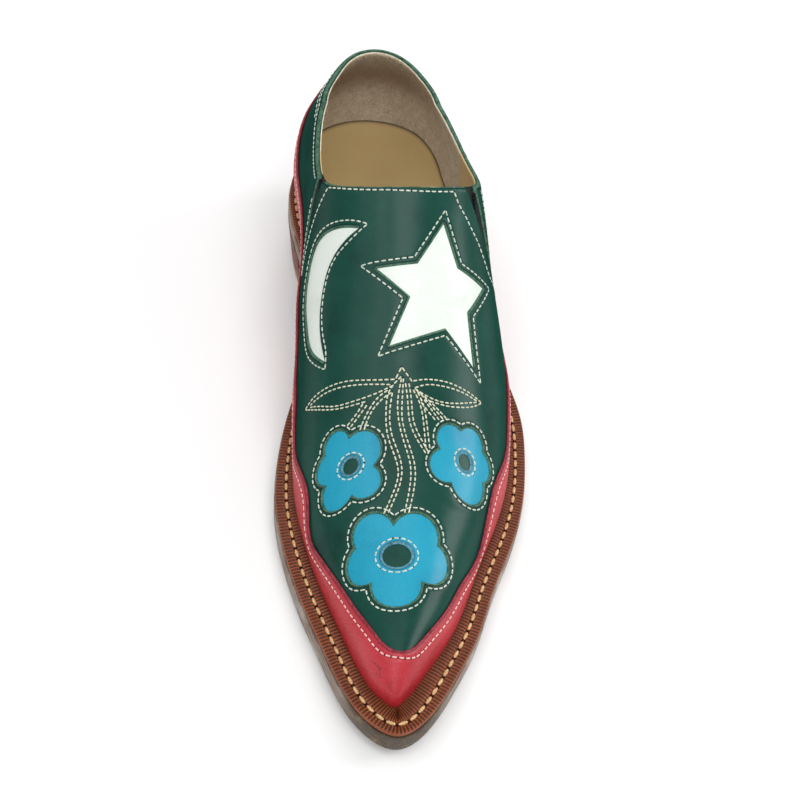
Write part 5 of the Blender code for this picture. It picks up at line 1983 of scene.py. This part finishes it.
def make_sock():
    """Padded sock on the insole: dished under the heel and turned up at its edge."""
    shares = 1.0 - np.linspace(1.0, 0.0, SOCK_ROWS) ** SOCK_CROWDING
    grid = []
    for column in list(range(0, RING_SIZE, SOCK_SPACING)) + [0]:
        middle, edge = sock_spoke(column)
        plan = middle + shares[:, None] * (edge - middle)
        cup = sock_cup(plan[:, 1]) * shares ** SOCK_TURN - SOCK_DISH * (1.0 - shares ** 2)
        grid.append(raised(plan, pad_top(plan[:, 1]) + cup))
    piece = formed_grid("sock", np.array(grid))
    tint(piece, "seam", SOCK_SEAM * np.repeat(limited((shares - SEAM_START) / SEAM_FADE), len(grid)))
    merge_points(piece)
    places = to_millimetres(read_points(piece))
    # The seat value is painted shade over the dished heel seat
    tint(piece, "seat", wear_and_shade_spot(HALF_LENGTH - places[:, 1], places[:, 0], SEAT_SHADE_SPOT))
    soften(piece)
    dress(piece, SOCK, ("insole",))


LINING_ROWS = 40
LINING_CROWDING = 0.9
LINING_OUT = 1.5
LINING_DROP = 0.2
OPEN_MARGIN = 0.01
GRIP_STATION = 68.0
GRIP_FADE = 4.0
FRAY_DEPTH = 5.0
SLIT_SPOTS = 40
SLIT_BACKING = 3.2
SLIT_FADE = 1.6


def slit_nearness(points):
    """One for the points behind a slit of the upper, fading to none beside it."""
    found = np.zeros(len(points))
    shares = np.linspace(0.0, 1.0, SLIT_SPOTS)
    for side in SIDES:
        lines = [slit_edge(side, edge)[0] for edge in ("front", "rear")]
        front, rear = [pattern(resample(line, shares * arc_length(line)[-1]))[0] for line in lines]
        half = np.linalg.norm(front - rear, axis=1) / 2.0
        for centre, width in zip((front + rear) / 2.0, half):
            inside = width + SLIT_BACKING - np.linalg.norm(points - centre, axis=1)
            found = np.maximum(found, limited(inside / SLIT_FADE))
    return found


def make_lining():
    """Lining inside the upper, with a suede grip at the heel that is pale and frayed at the collar."""
    shares = np.linspace(0.0, 1.0, LINING_ROWS) ** LINING_CROWDING
    tops = RING["collar"] - LINING_DROP * (RING["collar"] < RING["total"] - OPEN_MARGIN)
    grid = np.array([ring_wall(column, shares * top) for column, top in enumerate(tops)])
    piece = formed_grid("lining", looped(grid))
    merge_points(piece)
    points = read_points(piece)
    normals = read_points(piece, "normal")
    if np.sum((points - points.mean(axis=0)) * normals) < 0.0:
        normals = -normals
    else:
        piece.data.flip_normals()
    piece.data.vertices.foreach_set("co", (points - normals * LINING_OUT * MM).ravel())
    places = to_millimetres(points)
    back = HALF_LENGTH - places[:, 1]
    under = COLLAR(places[:, 1]) - places[:, 2]
    tint(piece, "grip", limited((GRIP_STATION - back) / GRIP_FADE + 0.5))
    tint(piece, "fray", limited((FRAY_DEPTH - under) / FRAY_DEPTH))
    tint(piece, "slit", slit_nearness(places))
    tint(piece, "wear", wear_and_shade_spot(back, places[:, 2], LINING_WEAR))
    piece.data.update()
    thicken(piece, WALL - LINING_OUT, 1.0)
    soften(piece)
    dress(piece, LINING)


# Stitches: pitch, length and width on the leathers, on the stems and on the welt
LEATHER_STITCH = (2.45, 1.95, 0.62)
STEM_STITCH = (2.1, 1.7, 0.62)
WELT_STITCH = (4.4, 3.5, 1.3)
STITCH_BLUNTNESS = 0.8
ORDER_DIGITS = 4
STITCH_LIFT = 0.1
STITCH_FLATNESS = 0.8
# Needle holes: low caps between the stitches, dark with painted shade
HOLE_SIDES = 6
HOLE_RISE = 0.12
HOLE_LIFT = 0.02
HOLE_LAP = 0.6
HOLE_SPREAD = 1.15
RUN_STEP = 0.8
CUT_RUN_LIFT = -0.1
HEART_RUN_LIFT = 0.1 - INLAY_SINK
LINE_RUN_LIFT = -0.02
RING_RUN_RISE = 0.6
# Rows round the collar: station where a row begins on each side, drop below the collar
COLLAR_STITCHES = ((84.0, 3.2), (46.0, 5.6))
WELT_RUN_POINTS = 1200
WELT_RUN_DROP = 0.12
# Normals lean a little along the welt, so that their own line has a length
WELT_RUN_LEAN = 0.001


def stitch_model():
    """One stitch of unit length: a ball with its ends drawn out blunt, its points in a set order."""
    deselect()
    turn = (0.0, math.pi / 2.0, 0.0)
    bpy.ops.mesh.primitive_uv_sphere_add(segments=8, ring_count=6, radius=0.5, rotation=turn)
    model = bpy.context.object
    bpy.ops.object.transform_apply(location=False, rotation=True, scale=False)
    points = read_points(model)
    points[:, 0] = np.sign(points[:, 0]) * np.abs(2.0 * points[:, 0]) ** STITCH_BLUNTNESS / 2.0
    order = np.lexsort(np.round(points, ORDER_DIGITS).T)
    rank = np.argsort(order)
    faces = sorted(tuple(rank[list(face.vertices)].tolist()) for face in model.data.polygons)
    bpy.data.objects.remove(model, do_unlink=True)
    return points[order], faces


def hole_shade_model():
    """Painted shade of one needle hole, of unit width: a low six-sided cap."""
    turns = 2.0 * math.pi / HOLE_SIDES * np.arange(HOLE_SIDES)
    rim = np.column_stack([np.cos(turns) / 2.0, np.sin(turns) / 2.0, np.zeros(HOLE_SIDES)])
    faces = [(place, (place + 1) % HOLE_SIDES, HOLE_SIDES) for place in range(HOLE_SIDES)]
    return np.vstack([rim, [[0.0, 0.0, HOLE_RISE]]]), faces


def copies(name, model, places, material):
    """One piece of many copies of a model, each at a place with its own axes and sizes."""
    shape, faces = model
    points = []
    every_face = []
    for centre, along, across, up, sizes in places:
        start = len(points) * len(shape)
        every_face += [tuple(start + corner for corner in face) for face in faces]
        points.append(centre + (shape[:, :1] * sizes[0]) * along + (shape[:, 1:2] * sizes[1]) * across
                      + (shape[:, 2:] * sizes[2]) * up)
    piece = mesh_piece(name, np.vstack(points), every_face)
    soften(piece)
    dress(piece, material)


def stitch_places(runs, pitch, length, width):
    """Places of stitches and of the painted shade of the holes between them, along runs of points with their
    normals.
    """
    stitches = []
    hole_shades = []
    for points, normals in runs:
        total = arc_length(points)[-1]
        count = max(1, int(round(total / pitch)))
        step = total / count
        starts = np.arange(count) * step + (step - length * step / pitch) / 2.0
        fronts = resample(points, starts)
        backs = resample(points, starts + length * step / pitch)
        middles = np.interp(starts + length / 2.0, arc_length(points), arc_length(normals))
        ups = unit(resample(normals, middles))
        for front, back, up in zip(fronts, backs, ups):
            size = np.linalg.norm(back - front)
            along = (back - front) / max(size, TINY)
            up = unit(up - (up @ along) * along)
            across = np.cross(up, along)
            centre = (front + back) / 2.0 + up * width * STITCH_LIFT
            stitches.append((centre, along, across, up, (size, width, width * STITCH_FLATNESS)))
            place = front - along * (step - size) / 2.0 + up * HOLE_LIFT
            sizes = (step - size + width * HOLE_LAP, width * HOLE_SPREAD, width)
            hole_shades.append((place, along, across, up, sizes))
    return stitches, hole_shades


def pattern_run(line, lift):
    """Points and normals along a line of pattern places."""
    points, normals = pattern(line)
    return points + normals * lift, normals


def upper_runs():
    """Lines of cream stitching on the green and the flowers."""
    runs = []
    for name, edges in CUT_EDGES.items():
        tips = MOON_TIPS if name == "moon" else ()
        runs += [pattern_run(edge, CUT_RUN_LIFT) for edge in set_off(edges, SETBACK[name], tips)]
    runs += [pattern_run(looped(heart(name, "ring")), HEART_RUN_LIFT) for name in FLOWERS]
    return runs + line_runs(VAMP_LINES)


def line_runs(lines):
    """Lines of stitching through given pattern places."""
    return [pattern_run(through(line, RUN_STEP), LINE_RUN_LIFT) for line in lines]


def ring_run(columns, ups, lift):
    """Points and normals along a line that crosses sections of the ring at given heights."""
    points = np.array([ring_wall(column, [up])[0] for column, up in zip(columns, ups)])
    above = np.array([ring_wall(column, [up + RING_RUN_RISE])[0] for column, up in zip(columns, ups)])
    normals = unit(np.cross(above - points, np.gradient(points, axis=0)))
    return points + normals * lift, normals


def collar_runs():
    """Stitching round the collar behind the slits, doubled round the heel."""
    runs = []
    for station, drop in COLLAR_STITCHES:
        columns = back_columns(station)
        runs.append(ring_run(columns, RING["collar"][columns] - drop, 0.0))
    return runs


def overlay_runs():
    """Pale stitching below the top edges of the red overlays."""
    lift = float(overlay_profile(np.array([OVERLAY_STITCH]))[0])
    edge = wing_edge()
    run = unit(np.gradient(edge, axis=0))
    inward = np.column_stack([-run[:, 1], run[:, 0]]) * OVERLAY_STITCH
    line = edge + inward
    if not is_inside(line[:1] + run[:1] * OVERLAY_STITCH, np.vstack([edge, wing_foot()[::-1]]))[0]:
        line = edge - inward
    columns = back_columns(OVERLAY_SEAM)
    heel = ring_run(columns, RING["overlay"][columns] - OVERLAY_STITCH, lift)
    return [pattern_run(line, lift), heel]


def welt_run():
    """Line of the welt's stitches."""
    plan = plan_points(WELT_RUN_POINTS, welt_share(CHANNEL), 0.0)
    points = looped(raised(plan, SEAT(plan[:, 1]) + GAP + WELT_THICKNESS - WELT_RUN_DROP))
    lean = np.linspace(0.0, WELT_RUN_LEAN, len(points))[:, None]
    return points, np.tile([0.0, 0.0, 1.0], (len(points), 1)) + lean


def make_stitches():
    """All visible stitching, a piece for each thread and one for the painted shade of its needle holes."""
    green_runs = upper_runs() + collar_runs()
    # Each row's hole material and hole piece are painted shade between the stitches
    rows = (
        ("cream_stitches", "needle_hole_shade", "upper", green_runs, LEATHER_STITCH, CREAM_THREAD, GREEN_HOLE_SHADE),
        ("stem_stitches", "stem_hole_shade", "upper", line_runs(STEMS), STEM_STITCH, STRAW_THREAD, GREEN_HOLE_SHADE),
        ("overlay_stitches", "overlay_hole_shade", "red_overlays", overlay_runs(), LEATHER_STITCH, PINK_THREAD,
         RED_HOLE_SHADE),
        ("welt_stitches", "awl_hole_shade", "welt", [welt_run()], WELT_STITCH, TAN_THREAD, WELT_HOLE_SHADE),
    )
    model = stitch_model()
    for name, hole_shade_name, slot, runs, sizes, thread, hole in rows:
        stitches, hole_shades = stitch_places(runs, *sizes)
        copies(name, model, stitches, thread)
        copies(hole_shade_name, hole_shade_model(), hole_shades, hole)


def dress_gores():
    """Elastic on the solids of the gores."""
    for side in SIDES:
        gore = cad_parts[side + "_gore"]
        gore.data.materials.clear()
        gore.data.materials.append(ELASTIC)


# Camera, floor and light
CAMERA_PLACE = (-0.0776, -0.3775, 0.4656)
CAMERA_AIM = (-0.00137, -0.00896, 0.03063)
CAMERA_ROLL = 8.1
CAMERA_LENS = 67.8
CAMERA_SENSOR = 36.0
CAMERA_NEAR = 0.01
FLOOR_SIZE = 12.0
FLOOR_CLOUDS = 3.0
FLOOR_GREYS = ((0.86, 0.86, 0.86, 1.0), (0.88, 0.88, 0.88, 1.0))
ROOM_LIGHT = 0.4
LIGHTS = (
    # name, place, size, power
    ("top", (0.0, -0.4, 1.7), 1.6, 13.0),
    ("soft box", (0.34, -0.72, 1.5), 0.5, 3.4),
    ("front fill", (-0.2, -1.3, 1.1), 1.1, 5.0),
    ("right window", (1.2, 0.08, 0.64), 0.5, 6.0),
    ("left fill", (-1.0, -0.4, 1.4), 1.2, 5.0),
    ("back", (0.1, 1.3, 1.3), 1.0, 8.0),
)


def make_camera():
    """Camera at the photograph's place, turned to the middle of the shoe."""
    data = bpy.data.cameras.new("camera")
    data.lens = CAMERA_LENS
    data.sensor_width = CAMERA_SENSOR
    data.clip_start = CAMERA_NEAR
    camera = bpy.data.objects.new("camera", data)
    bpy.context.scene.collection.objects.link(camera)
    view = Vector(CAMERA_AIM) - Vector(CAMERA_PLACE)
    turned = view.to_track_quat("-Z", "Y").to_matrix() @ Matrix.Rotation(math.radians(CAMERA_ROLL), 3, "Z")
    camera.matrix_world = Matrix.Translation(CAMERA_PLACE) @ turned.to_4x4()
    bpy.context.scene.camera = camera


def make_floor():
    """Plain pale floor."""
    deselect()
    bpy.ops.mesh.primitive_plane_add(size=FLOOR_SIZE)
    floor = bpy.context.object
    floor.name = "floor"
    made, tree, shader, place = start_material("pale floor", Roughness=0.9, Specular_IOR_Level=0.1)
    greys = mixed(tree, noise(tree, place, FLOOR_CLOUDS), *FLOOR_GREYS)
    tree.links.new(greys, shader.inputs["Base Color"])
    floor.data.materials.append(made)


def make_light():
    """Soft studio light from above and all round."""
    world = bpy.data.worlds.new("studio")
    world.use_nodes = True
    back = world.node_tree.nodes["Background"]
    back.inputs["Color"].default_value = (1.0, 1.0, 1.0, 1.0)
    back.inputs["Strength"].default_value = ROOM_LIGHT
    bpy.context.scene.world = world
    for name, place, size, power in LIGHTS:
        data = bpy.data.lights.new(name, "AREA")
        data.energy = power
        data.size = size
        light = bpy.data.objects.new(name, data)
        light.location = place
        light.rotation_euler = (-Vector(place)).to_track_quat("-Z", "Y").to_euler()
        bpy.context.scene.collection.objects.link(light)


make_camera()
make_floor()
make_light()
make_green()
make_inlays()
make_toe_wing()
make_counter()
make_welt()
make_outsole()
make_heel()
make_sock()
make_lining()
make_stitches()
dress_gores()
bpy.context.scene.view_settings.view_transform = "Standard"
